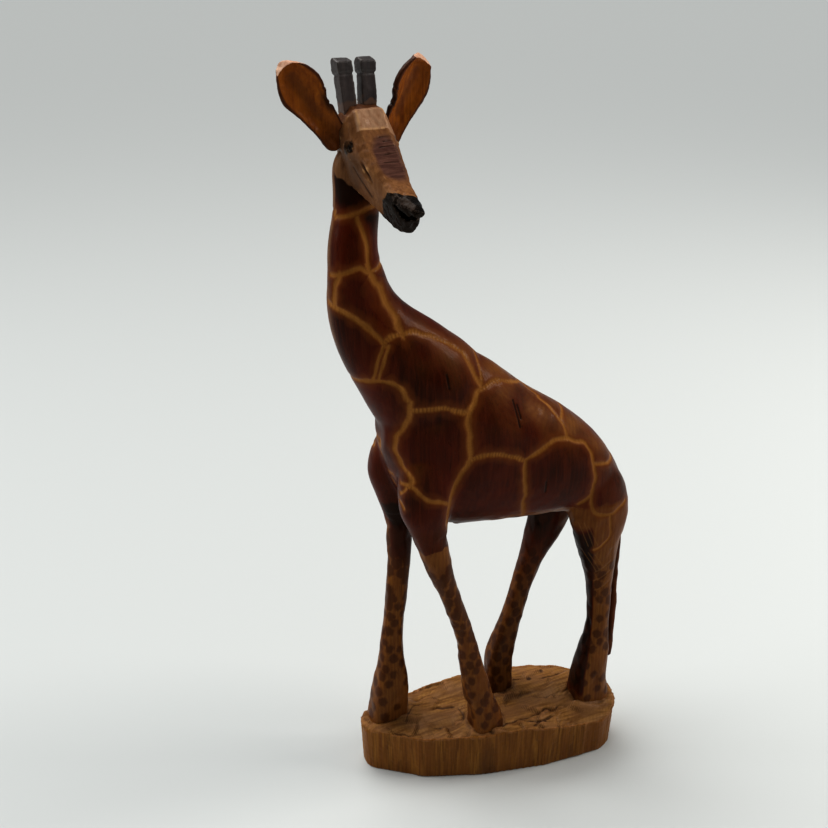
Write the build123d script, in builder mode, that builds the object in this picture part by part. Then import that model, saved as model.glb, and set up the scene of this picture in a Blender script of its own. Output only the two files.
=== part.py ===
"""A carved wooden giraffe on an oval base, 305 mm tall.

Millimetres, +Z up. The giraffe stands along the X axis with its chest towards -X and its rump towards +X,
so its left flank is on the -Y side. Its head is turned to its left and looks a little down, towards -Y.
The origin is on the underside of the base, below the middle of the animal.

The real carving is cut from one block of wood. Each carved region is a solid of its own here, and
neighbouring regions meet face to face, because one is cut back by the other where they join.
"""

import os
from math import cos, radians, sin

from build123d import *

# ---- base --------------------------------------------------------------------------------------------

BASE_TURN = -9.0  # the oval's long axis against the giraffe's, degrees about Z
BASE_HEIGHT = 23.8  # height of the top face in the middle
BASE_SLOPE = 2.0  # the top face rises this many degrees towards the rump
RIM_CHAMFER = 0.8  # round the underside
BASE_TAPER = 2.5  # the sides lean outwards by this many degrees as they rise
KNIFE_SLOPE = 16.0  # a knife cut along the rim falls outwards by this many degrees

# The hand-cut underside is a hull around these circles: x and y along its own axes, then the radius. The
# narrow end, under the fore feet, comes first.
BASE_OVAL = [
    (-49.5, 1.8, 8.3),
    (-28.0, 0.6, 16.4),
    (-5.0, 1.1, 20.4),
    (21.0, 1.2, 20.7),
    (44.3, -1.2, 14.8),
]

# Knife cuts along the rim: each one's direction about Z in degrees, and how far from the middle it starts.
KNIFE_CUTS = [(-112, 18.8), (-58, 22.0), (-28, 40.0), (24, 42.0), (82, 22.0), (126, 30.5), (170, 52.0)]

# ---- trunk -------------------------------------------------------------------------------------------

# Upright sections of the body: x, lowest z, highest z, half width.
BODY = [
    (-50.5, 162, 180, 6),
    (-46, 149, 190, 12.5),
    (-38, 134, 197.5, 18),
    (-25, 126, 202, 20.5),
    (-8, 123.5, 194.8, 21),
    (10, 122, 180.9, 20.5),
    (28, 121.5, 169.2, 20),
    (42, 118, 157.2, 18),
    (51.4, 112, 144.2, 14.5),
    (57.3, 109, 131.2, 9),
    (59.6, 112, 124, 4),
]

# Sections square to the neck, head end first: x, y, z, tilt in degrees, half depth, half width.
NECK = [
    (-56.5, 3.0, 278, 0, 4.0, 3.0),
    (-57.0, 3.0, 271, 0, 7.4, 5.0),
    (-57.3, 2.6, 263, 0, 8.0, 6.4),
    (-57.6, 1.8, 254, 1, 8.5, 7.4),
    (-59.3, 0.8, 243, 3, 9.0, 8.0),
    (-59.3, 0, 235, 7, 9.9, 8.6),
    (-57.3, 0, 223, 15, 12.3, 10.2),
    (-52.2, 0, 211.5, 27, 15.7, 12.6),
    (-42.2, 0, 199, 32, 19.8, 16.0),
    (-31.2, 0, 185, 35, 23.0, 18.5),
    (-22.0, 0, 172, 38, 22.0, 18.0),
]

# ---- legs --------------------------------------------------------------------------------------------

# Level sections of each leg, top first: z, x, distance from the middle plane, half length, half width.
# The leg's side of the middle plane comes first: -1 for left, 1 for right.
LEGS = {
    "leg_front_left": (
        -1,
        [
            (172, -30, 9, 10, 8),
            (155, -34, 11, 12.5, 9),
            (140, -36.5, 12, 10.5, 8.5),
            (131, -35.5, 12, 8.4, 7),
            (122, -33.5, 12, 6.5, 6),
            (107, -29.0, 12, 5.0, 5.2),
            (91, -23.5, 12, 4.3, 4.4),
            (74.5, -18.0, 11.8, 4.1, 4.1),
            (57.7, -14.3, 11.5, 5.2, 4.6),
            (43.4, -11.2, 11.2, 6.0, 5.2),
            (30, -7.0, 11, 6.9, 6.0),
            (16, -6.4, 11, 8.0, 7.0),
        ],
    ),
    "leg_front_right": (
        1,
        [
            (168, -36, 8, 9, 7),
            (158, -39, 10, 11, 8.5),
            (147, -40.5, 11.5, 11, 8),
            (135, -40, 12, 8, 6.5),
            (122, -38.6, 11.5, 5.6, 5.4),
            (106, -39.1, 11, 5.0, 4.8),
            (89, -40.6, 10.5, 4.5, 4.3),
            (72, -42.3, 10.2, 4.4, 4.2),
            (57, -43.1, 10, 5.5, 4.8),
            (42, -43.8, 10, 7.2, 5.8),
            (30, -44.9, 10.6, 8.2, 6.2),
            (16, -45.8, 11.4, 9.2, 6.8),
        ],
    ),
    "leg_hind_left": (
        -1,
        [
            (146, 36, 8, 11, 8),
            (135, 40, 9.5, 14, 9.5),
            (120, 43, 10.5, 13.5, 8.5),
            (105, 44.4, 11, 9.4, 6.8),
            (90, 45.8, 11, 6.6, 5.6),
            (75, 47.0, 11, 5.2, 5.2),
            (62, 47.2, 11, 5.1, 5.2),
            (49, 46.5, 11, 6.9, 5.6),
            (38, 45.6, 10.5, 7.6, 6.0),
            (28, 46.0, 9.6, 8.4, 6.5),
            (16, 46.2, 8.8, 9.2, 7.0),
        ],
    ),
    "leg_hind_right": (
        1,
        [
            (144, 33, 8, 10, 8),
            (132, 35, 9.5, 12, 9),
            (118, 33.8, 10.5, 11, 7.6),
            (103, 29.6, 11, 8.6, 6.2),
            (89, 23.8, 11, 5.9, 5.0),
            (74.5, 18.9, 10.8, 4.8, 4.5),
            (59, 14.4, 10.5, 4.9, 4.5),
            (43, 10.0, 10.3, 5.8, 5.0),
            (32, 9.3, 10.2, 6.2, 5.6),
            (16, 9.3, 10, 7.2, 6.6),
        ],
    ),
}

# Level sections of the tail, top first: z, x, y, half thickness, half width.
TAIL = [
    (127, 55.6, 0, 3.2, 3.6),
    (116, 58.7, -0.5, 2.5, 3.4),
    (104, 59.4, -1.5, 2.0, 3.0),
    (92, 58.6, -3.0, 1.8, 2.7),
    (78, 57.6, -4.8, 1.7, 2.4),
    (64, 57.3, -6.5, 1.7, 2.3),
    (51, 56.1, -8.5, 1.7, 2.2),
    (42, 54.9, -9.6, 1.6, 1.8),
]

# ---- head --------------------------------------------------------------------------------------------

HEAD_CENTRE = (-52.9, 0.6, 275.5)  # middle of the skull
HEAD_YAW = -82.0  # direction of the muzzle about Z, degrees from +X
HEAD_DIP = 31.0  # the muzzle points this far below the horizon

# Sections of the head square to its axis, poll first. Each is the distance along the axis, then
# (half width, height) of the crown's edge, the temple, the cheek, the jaw and the throat.
HEAD = [
    (-15.5, [(2.6, 5.6), (4.6, 4.2), (5.4, 1.5), (4.4, -1.0), (2.2, -2.5)]),
    (-12.0, [(4.6, 9.8), (7.2, 7.0), (8.2, 2.5), (6.2, -3.0), (3.2, -5.0)]),
    (-6.0, [(5.0, 12.2), (7.6, 8.8), (9.4, 3.5), (8.0, -5.5), (4.2, -8.5)]),
    (0.0, [(5.1, 9.0), (8.0, 6.4), (10.2, 3.0), (8.6, -8.0), (4.4, -11.0)]),
    (6.0, [(5.0, 7.4), (7.9, 5.2), (9.8, 1.8), (8.0, -8.8), (4.0, -11.2)]),
    (14.0, [(4.4, 5.9), (6.7, 4.2), (7.7, 0.6), (5.8, -8.2), (3.0, -10.2)]),
    (22.0, [(3.6, 4.6), (5.1, 3.5), (5.7, 0.2), (4.5, -7.0), (2.6, -8.6)]),
    (29.0, [(3.0, 4.9), (4.3, 3.8), (4.7, 0.6), (3.9, -5.8), (2.4, -7.0)]),
    (34.0, [(2.5, 5.6), (3.5, 4.5), (3.9, 0.6), (3.3, -4.6), (2.0, -5.7)]),
    (36.5, [(1.6, 5.0), (2.4, 4.1), (2.6, 0.5), (2.2, -3.0), (1.2, -4.2)]),
]
MOUTH_START = 26.5  # distance along the head's axis to the corner of the mouth
MOUTH_HEIGHT = 2.2
MOUTH_GAPE = 1.8
MOUTH_WIDTH = 20.0  # more than the muzzle's own width, so the mouth is open at both sides

# The ears' roots and tips in the head's own frame: along, out to the ear's own side, and up. They are cut
# by hand, so they aren't quite a mirrored pair. The left one's side is -1, the right one's is 1.
EARS = {
    "ear_left": (-1, (-5.5, 9.6, -1.4), (-17.0, 22.4, 23.0)),
    "ear_right": (1, (-5.5, 9.4, 0.5), (-17.2, 27.8, 22.4)),
}
EAR_FACING = (0.85, 0.25, 0.45)  # the open side of an ear faces this way
EAR_THICKNESS = 5.0
EAR_WALL = 1.5
HOLLOW_DEPTH = 0.62  # as a share of the thickness
HOLLOW_SETBACK = 0.06  # the hollow stops this share of the ear's length short of its tip
EAR = [(0.0, 4.4), (0.22, 5.0), (0.45, 6.2), (0.7, 7.6), (0.86, 7.0), (1.0, 3.8)]
# each: distance from root to tip as a share of the ear's length, half width there

HORNS = {"horn_left": -1, "horn_right": 1}  # the side of the head
HORN_SHIFT = 0.9  # the pair of horns stands this far to the right of the head's middle
HORN_ROOT = (-9.0, 3.5, 5.0)
HORN_TIP = (-22.6, 4.5, 20.8)
HORN = [(0.0, 5.2, 5.0), (0.74, 5.2, 4.8), (0.78, 5.8, 5.4), (0.95, 5.8, 5.4), (1.0, 5.0, 4.6)]
# each: distance from root to tip as a share of the horn's length, width, depth


def unit(yaw, rise):
    """The direction at this yaw about Z and this rise above the horizon, both in degrees."""
    level = Vector(cos(radians(yaw)), sin(radians(yaw)), 0)
    return level * cos(radians(rise)) + Vector(0, 0, sin(radians(rise)))


AHEAD = unit(HEAD_YAW, -HEAD_DIP)  # along the head, towards the nose
CROWN = unit(HEAD_YAW, 90 - HEAD_DIP)  # out of the top of the skull
LEFT = unit(HEAD_YAW + 90, 0)  # towards the left ear


def head_vector(along, left, up, side=-1):
    """A vector from the head's own frame, for the left (-1) or the right (1) side of the head."""
    return AHEAD * along - LEFT * left * side + CROWN * up


def head_point(along, left, up, side=-1):
    """A point given in the head's own frame."""
    return Vector(*HEAD_CENTRE) + head_vector(along, left, up, side)


def save(part, name):
    """Labels a finished piece and writes it as its node's STEP file."""
    part.label = name
    export_step(part, f"parts/{name}.step")


def base_top():
    """The plane of the top face of the base."""
    return Plane.XY.offset(BASE_HEIGHT).rotated((0, -BASE_SLOPE, 0))


def knife_plane(direction, start):
    """The plane of one knife cut along the rim, which falls outwards from its start."""
    across = unit(direction, 0)
    normal = unit(direction, 90 - KNIFE_SLOPE)
    height = BASE_HEIGHT + across.X * start * sin(radians(BASE_SLOPE))
    return Plane(across * start + Vector(0, 0, height), z_dir=normal)


def make_base():
    """The oval base, with a sloping top whose rim is cut with a knife."""
    with BuildPart() as base:
        with BuildSketch(Plane.XY.rotated((0, 0, BASE_TURN))):
            for x, y, radius in BASE_OVAL:
                with Locations((x, y)):
                    Circle(radius)
            make_hull()
        extrude(amount=2 * BASE_HEIGHT, taper=-BASE_TAPER)
        split(bisect_by=base_top(), keep=Keep.BOTTOM)
        for direction, start in KNIFE_CUTS:
            split(bisect_by=knife_plane(direction, start), keep=Keep.BOTTOM)
        chamfer(base.faces().sort_by(Axis.Z)[0].edges(), length=RIM_CHAMFER)
    return base.part


def make_body():
    """The trunk, lofted through upright ovals."""
    with BuildPart() as body:
        for x, low, high, half_width in BODY:
            with BuildSketch(Plane((x, 0, (low + high) / 2), x_dir=(0, 1, 0), z_dir=(1, 0, 0))):
                Ellipse(half_width, (high - low) / 2)
        loft()
    return body.part


def make_neck(body, head):
    """The neck, lofted through ovals square to its bend, up into the skull."""
    with BuildPart() as neck:
        for x, y, z, tilt, half_depth, half_width in NECK:
            across = (cos(radians(tilt)), 0, sin(radians(tilt)))
            down = (sin(radians(tilt)), 0, -cos(radians(tilt)))
            with BuildSketch(Plane((x, y, z), x_dir=across, z_dir=down)):
                Ellipse(half_depth, half_width)
        loft()
        add(body, mode=Mode.SUBTRACT)
        add(head, mode=Mode.SUBTRACT)
    return neck.part


def make_leg(side, sections, body, base):
    """One leg, lofted through level ovals from inside the trunk down to its foot on the base."""
    with BuildPart() as leg:
        for z, x, y, half_length, half_width in sections:
            with BuildSketch(Plane((x, side * y, z))):
                Ellipse(half_length, half_width)
        loft()
        add(body, mode=Mode.SUBTRACT)
        add(base, mode=Mode.SUBTRACT)
    return leg.part


def make_tail(body, leg):
    """The tail: a thin strip that leaves the rump and ends against the back of the left hind leg."""
    with BuildPart() as tail:
        for z, x, y, half_thickness, half_width in TAIL:
            with BuildSketch(Plane((x, y, z))):
                Ellipse(half_thickness, half_width)
        loft()
        add(body, mode=Mode.SUBTRACT)
        add(leg, mode=Mode.SUBTRACT)
    return tail.part


def make_head():
    """The skull and muzzle, cut in flat planes, with an open mouth."""
    with BuildPart() as head:
        for along, outline in HEAD:
            left_side = [(width, up) for width, up in outline]
            right_side = [(-width, up) for width, up in reversed(outline)]
            with BuildSketch(Plane(head_point(along, 0, 0), x_dir=LEFT, z_dir=-AHEAD)):
                Polygon(*left_side, *right_side, align=None)
        loft(ruled=True)
        corner = head_point(MOUTH_START, 0, MOUTH_HEIGHT)
        reach = HEAD[-1][0] - MOUTH_START + 1
        with BuildSketch(Plane(corner, x_dir=AHEAD, z_dir=-LEFT)):
            Polygon((0, 0), (reach, MOUTH_GAPE / 2), (reach, -MOUTH_GAPE / 2), align=None)
        extrude(amount=MOUTH_WIDTH / 2, both=True, mode=Mode.SUBTRACT)
    return head.part


def make_ear(side, root_place, tip_place, head):
    """One ear: a leaf with a hollow on its open side, rooted in the skull."""
    root = head_point(*root_place, side)
    length = head_point(*tip_place, side) - root
    across = length.cross(head_vector(*EAR_FACING, side)).normalized()
    facing = across.cross(length).normalized()
    with BuildPart() as ear:
        for share, half_width in EAR:
            with BuildSketch(Plane(root + length * share, x_dir=across, z_dir=length)):
                Ellipse(half_width, EAR_THICKNESS / 2)
        loft()
        for share, half_width in EAR[1:]:
            lip = root + length * (share - HOLLOW_SETBACK) + facing * EAR_THICKNESS / 2
            with BuildSketch(Plane(lip, x_dir=across, z_dir=length)):
                Ellipse(half_width - EAR_WALL, EAR_THICKNESS * HOLLOW_DEPTH)
        loft(mode=Mode.SUBTRACT)
        add(head, mode=Mode.SUBTRACT)
    return ear.part


def make_horn(side, head, ear):
    """One horn: a square peg with a thicker, bevelled knob, rooted beside the ear."""
    root = head_point(*HORN_ROOT, side) - LEFT * HORN_SHIFT
    length = head_point(*HORN_TIP, side) - LEFT * HORN_SHIFT - root
    with BuildPart() as horn:
        for share, width, depth in HORN:
            with BuildSketch(Plane(root + length * share, x_dir=LEFT, z_dir=length)):
                Rectangle(width, depth)
        loft(ruled=True)
        add(head, mode=Mode.SUBTRACT)
        add(ear, mode=Mode.SUBTRACT)
    return horn.part


os.makedirs("parts", exist_ok=True)
base = make_base()
body = make_body()
head = make_head()
save(base, "base")
save(body, "body")
save(head, "head")
save(make_neck(body, head), "neck")

for name, (side, sections) in LEGS.items():
    leg = make_leg(side, sections, body, base)
    save(leg, name)
    if name == "leg_hind_left":
        save(make_tail(body, leg), "tail")

ears = []
for name, (side, root_place, tip_place) in EARS.items():
    ear = make_ear(side, root_place, tip_place, head)
    ears.append(ear)
    save(ear, name)

for (name, side), ear in zip(HORNS.items(), ears):
    save(make_horn(side, head, ear), name)
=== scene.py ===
"""The looks of a carved wooden giraffe on an oval base.

All modelling is in millimetres in the frame of the CAD model, and each mesh is scaled to metres when it is
finished. The animal's trunk, neck, legs and tail are carved as one skin, which is then cut into one closed
piece for each CAD node, so that no seam shows between them.
"""

from math import cos, pi, radians, sin, tan

import bmesh
import bpy
import numpy as np
from mathutils import Matrix, Vector
from mathutils.bvhtree import BVHTree
from mathutils.kdtree import KDTree


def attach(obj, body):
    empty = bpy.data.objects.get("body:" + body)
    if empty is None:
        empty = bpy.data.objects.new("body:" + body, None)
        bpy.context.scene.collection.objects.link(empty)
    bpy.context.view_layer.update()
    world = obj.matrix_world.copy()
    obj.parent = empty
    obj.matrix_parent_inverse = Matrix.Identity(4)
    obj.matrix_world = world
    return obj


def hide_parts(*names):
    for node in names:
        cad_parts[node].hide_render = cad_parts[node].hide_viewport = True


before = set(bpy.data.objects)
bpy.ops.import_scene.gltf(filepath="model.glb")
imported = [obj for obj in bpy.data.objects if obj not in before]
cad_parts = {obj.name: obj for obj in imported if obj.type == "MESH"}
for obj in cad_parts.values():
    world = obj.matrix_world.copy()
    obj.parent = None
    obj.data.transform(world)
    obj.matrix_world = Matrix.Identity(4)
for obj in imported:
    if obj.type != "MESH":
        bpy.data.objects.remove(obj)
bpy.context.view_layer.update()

MM = 0.001

# ---- sizes that the CAD model has too, in mm and degrees ---------

BASE_TURN = -9.0  # the base is turned this far about Z
BASE_HEIGHT = 23.8
BASE_SLOPE = 2.0  # its top rises towards the rump
BASE_TAPER = 2.5  # its sides lean outwards
# Circles whose hull is the base's outline: x, y, radius.
BASE_OVAL = [(-49.5, 1.8, 8.3), (-28.0, 0.6, 16.4), (-5.0, 1.1, 20.4), (21.0, 1.2, 20.7), (44.3, -1.2, 14.8)]
# Cuts round the rim of its top: which way each one faces, and how far out it starts.
KNIFE_CUTS = [(-112, 18.8), (-58, 22.0), (-28, 40.0), (24, 42.0), (82, 22.0), (126, 30.5), (170, 52.0)]
KNIFE_SLOPE = 16.0  # the cuts fall away outwards

# Upright sections of the body: x, lowest z, highest z, half width.
BODY = [
    (-50.5, 162, 180, 6), (-46, 149, 190, 12.5), (-38, 134, 197.5, 18), (-25, 126, 202, 20.5),
    (-8, 123.5, 194.8, 21), (10, 122, 180.9, 20.5), (28, 121.5, 169.2, 20), (42, 118, 157.2, 18),
    (51.4, 112, 144.2, 14.5), (57.3, 109, 131.2, 9), (59.6, 112, 124, 4),
]

# Sections square to the neck: x, y, z, tilt in degrees, half depth, half width.
NECK = [
    (-56.5, 3.0, 278, 0, 4.0, 3.0), (-57.0, 3.0, 271, 0, 7.4, 5.0), (-57.3, 2.6, 263, 0, 8.0, 6.4),
    (-57.6, 1.8, 254, 1, 8.5, 7.4), (-59.3, 0.8, 243, 3, 9.0, 8.0), (-59.3, 0, 235, 7, 9.9, 8.6),
    (-57.3, 0, 223, 15, 12.3, 10.2), (-52.2, 0, 211.5, 27, 15.7, 12.6), (-42.2, 0, 199, 32, 19.8, 16.0),
    (-31.2, 0, 185, 35, 23.0, 18.5), (-22.0, 0, 172, 38, 22.0, 18.0),
]

# Level sections of each leg: z, x, distance from the middle plane, half length, half width. The side comes
# first: -1 for left, 1 for right.
LEGS = {
    "leg_front_left": (-1, [
        (172, -30, 9, 10, 8), (155, -34, 11, 12.5, 9), (140, -36.5, 12, 10.5, 8.5),
        (131, -35.5, 12, 8.4, 7), (122, -33.5, 12, 6.5, 6), (107, -29.0, 12, 5.0, 5.2),
        (91, -23.5, 12, 4.3, 4.4), (74.5, -18.0, 11.8, 4.1, 4.1), (57.7, -14.3, 11.5, 5.2, 4.6),
        (43.4, -11.2, 11.2, 6.0, 5.2), (30, -7.0, 11, 6.9, 6.0), (16, -6.4, 11, 8.0, 7.0),
    ]),
    "leg_front_right": (1, [
        (168, -36, 8, 9, 7), (158, -39, 10, 11, 8.5), (147, -40.5, 11.5, 11, 8), (135, -40, 12, 8, 6.5),
        (122, -38.6, 11.5, 5.6, 5.4), (106, -39.1, 11, 5.0, 4.8), (89, -40.6, 10.5, 4.5, 4.3),
        (72, -42.3, 10.2, 4.4, 4.2), (57, -43.1, 10, 5.5, 4.8), (42, -43.8, 10, 7.2, 5.8),
        (30, -44.9, 10.6, 8.2, 6.2), (16, -45.8, 11.4, 9.2, 6.8),
    ]),
    "leg_hind_left": (-1, [
        (146, 36, 8, 11, 8), (135, 40, 9.5, 14, 9.5), (120, 43, 10.5, 13.5, 8.5), (105, 44.4, 11, 9.4, 6.8),
        (90, 45.8, 11, 6.6, 5.6), (75, 47.0, 11, 5.2, 5.2), (62, 47.2, 11, 5.1, 5.2),
        (49, 46.5, 11, 6.9, 5.6), (38, 45.6, 10.5, 7.6, 6.0), (28, 46.0, 9.6, 8.4, 6.5),
        (16, 46.2, 8.8, 9.2, 7.0),
    ]),
    "leg_hind_right": (1, [
        (144, 33, 8, 10, 8), (132, 35, 9.5, 12, 9), (118, 33.8, 10.5, 11, 7.6), (103, 29.6, 11, 8.6, 6.2),
        (89, 23.8, 11, 5.9, 5.0), (74.5, 18.9, 10.8, 4.8, 4.5), (59, 14.4, 10.5, 4.9, 4.5),
        (43, 10.0, 10.3, 5.8, 5.0), (32, 9.3, 10.2, 6.2, 5.6), (16, 9.3, 10, 7.2, 6.6),
    ]),
}

# Level sections of the tail: z, x, y, half thickness, half width.
TAIL = [
    (127, 55.6, 0, 3.2, 3.6), (116, 58.7, -0.5, 2.5, 3.4), (104, 59.4, -1.5, 2.0, 3.0),
    (92, 58.6, -3.0, 1.8, 2.7), (78, 57.6, -4.8, 1.7, 2.4), (64, 57.3, -6.5, 1.7, 2.3),
    (51, 56.1, -8.5, 1.7, 2.2), (42, 54.9, -9.6, 1.6, 1.8),
]

# The head's own frame runs along its axis, to its left and up.
HEAD_CENTRE = np.array([-52.9, 0.6, 275.5])
HEAD_YAW = -82.0
HEAD_DIP = 31.0

# Sections of the head: the distance along its axis, then (half width, height) of the crown's edge, the
# temple, the cheek, the jaw and the throat.
HEAD = [
    (-15.5, [(2.6, 5.6), (4.6, 4.2), (5.4, 1.5), (4.4, -1.0), (2.2, -2.5)]),
    (-12.0, [(4.6, 9.8), (7.2, 7.0), (8.2, 2.5), (6.2, -3.0), (3.2, -5.0)]),
    (-6.0, [(5.0, 12.2), (7.6, 8.8), (9.4, 3.5), (8.0, -5.5), (4.2, -8.5)]),
    (0.0, [(5.1, 9.0), (8.0, 6.4), (10.2, 3.0), (8.6, -8.0), (4.4, -11.0)]),
    (6.0, [(5.0, 7.4), (7.9, 5.2), (9.8, 1.8), (8.0, -8.8), (4.0, -11.2)]),
    (14.0, [(4.4, 5.9), (6.7, 4.2), (7.7, 0.6), (5.8, -8.2), (3.0, -10.2)]),
    (22.0, [(3.6, 4.6), (5.1, 3.5), (5.7, 0.2), (4.5, -7.0), (2.6, -8.6)]),
    (29.0, [(3.0, 4.9), (4.3, 3.8), (4.7, 0.6), (3.9, -5.8), (2.4, -7.0)]),
    (34.0, [(2.5, 5.6), (3.5, 4.5), (3.9, 0.6), (3.3, -4.6), (2.0, -5.7)]),
    (36.5, [(1.6, 5.0), (2.4, 4.1), (2.6, 0.5), (2.2, -3.0), (1.2, -4.2)]),
]
MOUTH_START = 26.5
MOUTH_HEIGHT = 2.2

# For each ear, its side of the head and the places of its root and its tip.
EARS = {
    "ear_left": (-1, (-5.5, 9.6, -1.4), (-17.0, 22.4, 23.0)),
    "ear_right": (1, (-5.5, 9.4, 0.5), (-17.2, 27.8, 22.4)),
}
EAR_FACING = (0.85, 0.25, 0.45)
EAR_THICKNESS = 5.0
# Half widths along an ear. The CAD model's ears are up to 0.6 wider near the tip.
EAR = [(0.0, 4.4), (0.22, 5.0), (0.45, 6.2), (0.69, 7.6), (0.85, 6.4), (1.0, 3.7)]

HORNS = {"horn_left": -1, "horn_right": 1}
HORN_SHIFT = 0.9  # the pair of horns stands this far to the right of the head's middle
HORN_ROOT = (-9.0, 3.5, 5.0)
HORN_TIP = (-22.6, 4.5, 20.8)
# Along a horn: share of its length, width, depth.
HORN = [(0.0, 5.2, 5.0), (0.74, 5.2, 4.8), (0.78, 5.8, 5.4), (0.95, 5.8, 5.4), (1.0, 5.0, 4.6)]

# ---- sizes of the carved detail, in millimetres ------------------

SKIN_VOXEL = 0.5
HEAD_VOXEL = 0.32
BASE_VOXEL = 0.5
FAR_OFF = 9.0  # stands for a place far from any spot, cut or knot
LINE_DEPTH = 0.34
LINE_SPREAD = 1.34  # a line is this many times as wide as its half width says
BLADE_BEAT = 1.35  # from one stroke to the next of the blade that chopped some lines across
NECK_CUT = ((-33.0, 190.0), 27.0)  # a point in x and z, and a slope: the plane between body and neck

# The engraved lines on the left flank: half width, how strongly a stuttering blade chopped the line across,
# and its points in x and z. The right flank has the same network, drawn a little differently.
LINES = [
    (0.62, 0.2, [(-66.5, 253.5), (-61, 255), (-57, 256), (-49, 258.5)]),
    (0.62, 0.0, [(-59.5, 254.5), (-57, 246), (-56.3, 240), (-56, 235)]),
    (0.66, 0.1, [(-68.8, 234), (-65, 235), (-60, 237), (-56, 235), (-49.5, 237)]),
    (1.15, 0.0, [(-56.2, 238), (-54.3, 232), (-51, 226), (-48, 219), (-45, 212)]),
    (0.85, 0.0, [(-66.8, 235), (-68, 228), (-68, 223)]),
    (0.78, 0.1, [(-69.5, 224), (-66, 222), (-60, 217.5), (-54, 211.5), (-53, 209)]),
    (0.80, 0.9, [(-53, 209.5), (-50, 212), (-44, 212.5), (-39, 211.5), (-34, 210), (-27, 206), (-21, 201.5)]),
    (0.95, 0.2, [(-21, 201.5), (-18, 195), (-15, 189)]),
    (0.48, 0.0, [(-53.2, 209), (-55.4, 202), (-56.4, 195.5)]),
    (0.48, 0.0, [(-51.4, 209), (-53.6, 202), (-54.4, 195.2)]),
    (0.72, 0.1, [(-62.5, 193), (-57, 195.5), (-52, 195), (-49, 194), (-46, 190), (-44, 187)]),
    (0.80, 1.0, [(-44, 184), (-38, 184), (-30, 183), (-23, 180.5)]),
    (0.80, 0.2, [(-44, 187), (-44, 183), (-45.5, 176), (-48, 169), (-46.4, 162), (-44, 156), (-45, 152.5)]),
    (0.85, 0.2, [(-15, 188.4), (-19, 184.4), (-22, 178.6), (-21.6, 170), (-21.8, 161.8)]),
    (0.75, 0.9, [(-16, 187.5), (-12, 188.7), (-6, 188.5), (1, 185.7), (9, 181.2), (14, 177)]),
    (0.62, 0.2, [(14, 177), (18, 172), (21.5, 167), (22, 162)]),
    (0.72, 1.0, [(-22, 161.5), (-15, 163), (-9, 161.7), (-3, 159.6), (2, 157)]),
    (0.72, 0.4, [(2, 157), (9, 160), (15, 162.5), (22, 162)]),
    (0.66, 0.1, [(22, 162), (27, 160), (32, 156.5), (34.5, 149), (35.2, 142), (34.5, 136), (30, 130)]),
    (0.62, 0.3, [(35, 149), (40, 147.6), (46, 147), (50.5, 147.5)]),
    (0.66, 0.2, [(2, 157), (2.4, 149), (3.3, 142), (4.5, 133), (8, 125)]),
    (0.75, 0.1, [(-22, 161), (-26, 154), (-28.5, 147), (-29.5, 139), (-28, 131)]),
    (0.60, 0.2, [(34, 137), (35.5, 128), (39, 124.6), (45, 124.5), (52, 128)]),
    (0.45, 0.1, [(44, 123), (45, 113), (42, 108.5), (38.5, 107)]),
    (0.55, 0.5, [(-15, 189), (-13.4, 194), (-13, 200)]),
    (0.55, 0.4, [(21, 168), (24, 170), (27, 171)]),
]

# Lines on the left shoulder only.
SHOULDER_LINES = [
    (0.62, 0.2, [(-48.5, 151.5), (-45, 153), (-40, 148.6), (-34, 146), (-29, 143)]),
    (0.60, 0.0, [(-46, 151.5), (-48, 147), (-46.5, 142.5)]),
]

# Fine scratches of the knife on the haunches: their ends in x and z.
SCRATCHES = [
    ((31, 121), (36.5, 108.5)), ((33, 121), (38.5, 108)), ((35, 119), (40, 109)), ((35, 106), (41.5, 94.5)),
    ((37, 105), (43, 95)), ((39.5, 104), (45, 96)), ((41, 94), (48, 99)), ((41, 89), (48.5, 94)),
    ((42, 84), (49, 88.5)),
]

# Short dark nicks in the left flank: their ends in x and z.
NICKS = [
    ((-1.2, 181), (0.0, 171)), ((0.4, 179), (1.0, 174)), ((-30, 196), (-29.4, 191)), ((12, 146), (12.3, 141)),
]

# ---- numbers -----------------------------------------------------


X, Y, Z = np.eye(3)


def direction(yaw, rise):
    """The unit vector at this yaw about Z and this rise above the horizon, both in degrees."""
    level = cos(radians(rise))
    return np.array([cos(radians(yaw)) * level, sin(radians(yaw)) * level, sin(radians(rise))])


AHEAD = direction(HEAD_YAW, -HEAD_DIP)
CROWN = direction(HEAD_YAW, 90 - HEAD_DIP)
LEFT = direction(HEAD_YAW + 90, 0)
HEAD_AXES = np.array([AHEAD, LEFT, CROWN])


def head_vector(along, left, up, side=-1):
    """A vector from the head's own frame, for the left (-1) or the right (1) side of the head."""
    return AHEAD * along - LEFT * left * side + CROWN * up


def head_point(along, left, up, side=-1):
    """A point given in the head's own frame."""
    return HEAD_CENTRE + head_vector(along, left, up, side)


def unit(vector):
    return vector / np.linalg.norm(vector)


def smooth_rows(rows, steps):
    """A smooth curve through the rows of a list, with this many steps from each row to the next."""
    rows = np.array(rows, float)
    padded = np.vstack([2 * rows[0] - rows[1], rows, 2 * rows[-1] - rows[-2]])
    t = (np.arange(steps) / steps)[:, None]
    out = []
    for before, here, there, after in zip(padded, padded[1:], padded[2:], padded[3:]):
        line = 2 * here + (there - before) * t
        bend = (2 * before - 5 * here + 4 * there - after) * t**2
        twist = (3 * here - before - 3 * there + after) * t**3
        out.append(0.5 * (line + bend + twist))
    return np.vstack(out + [rows[-1]])


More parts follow.
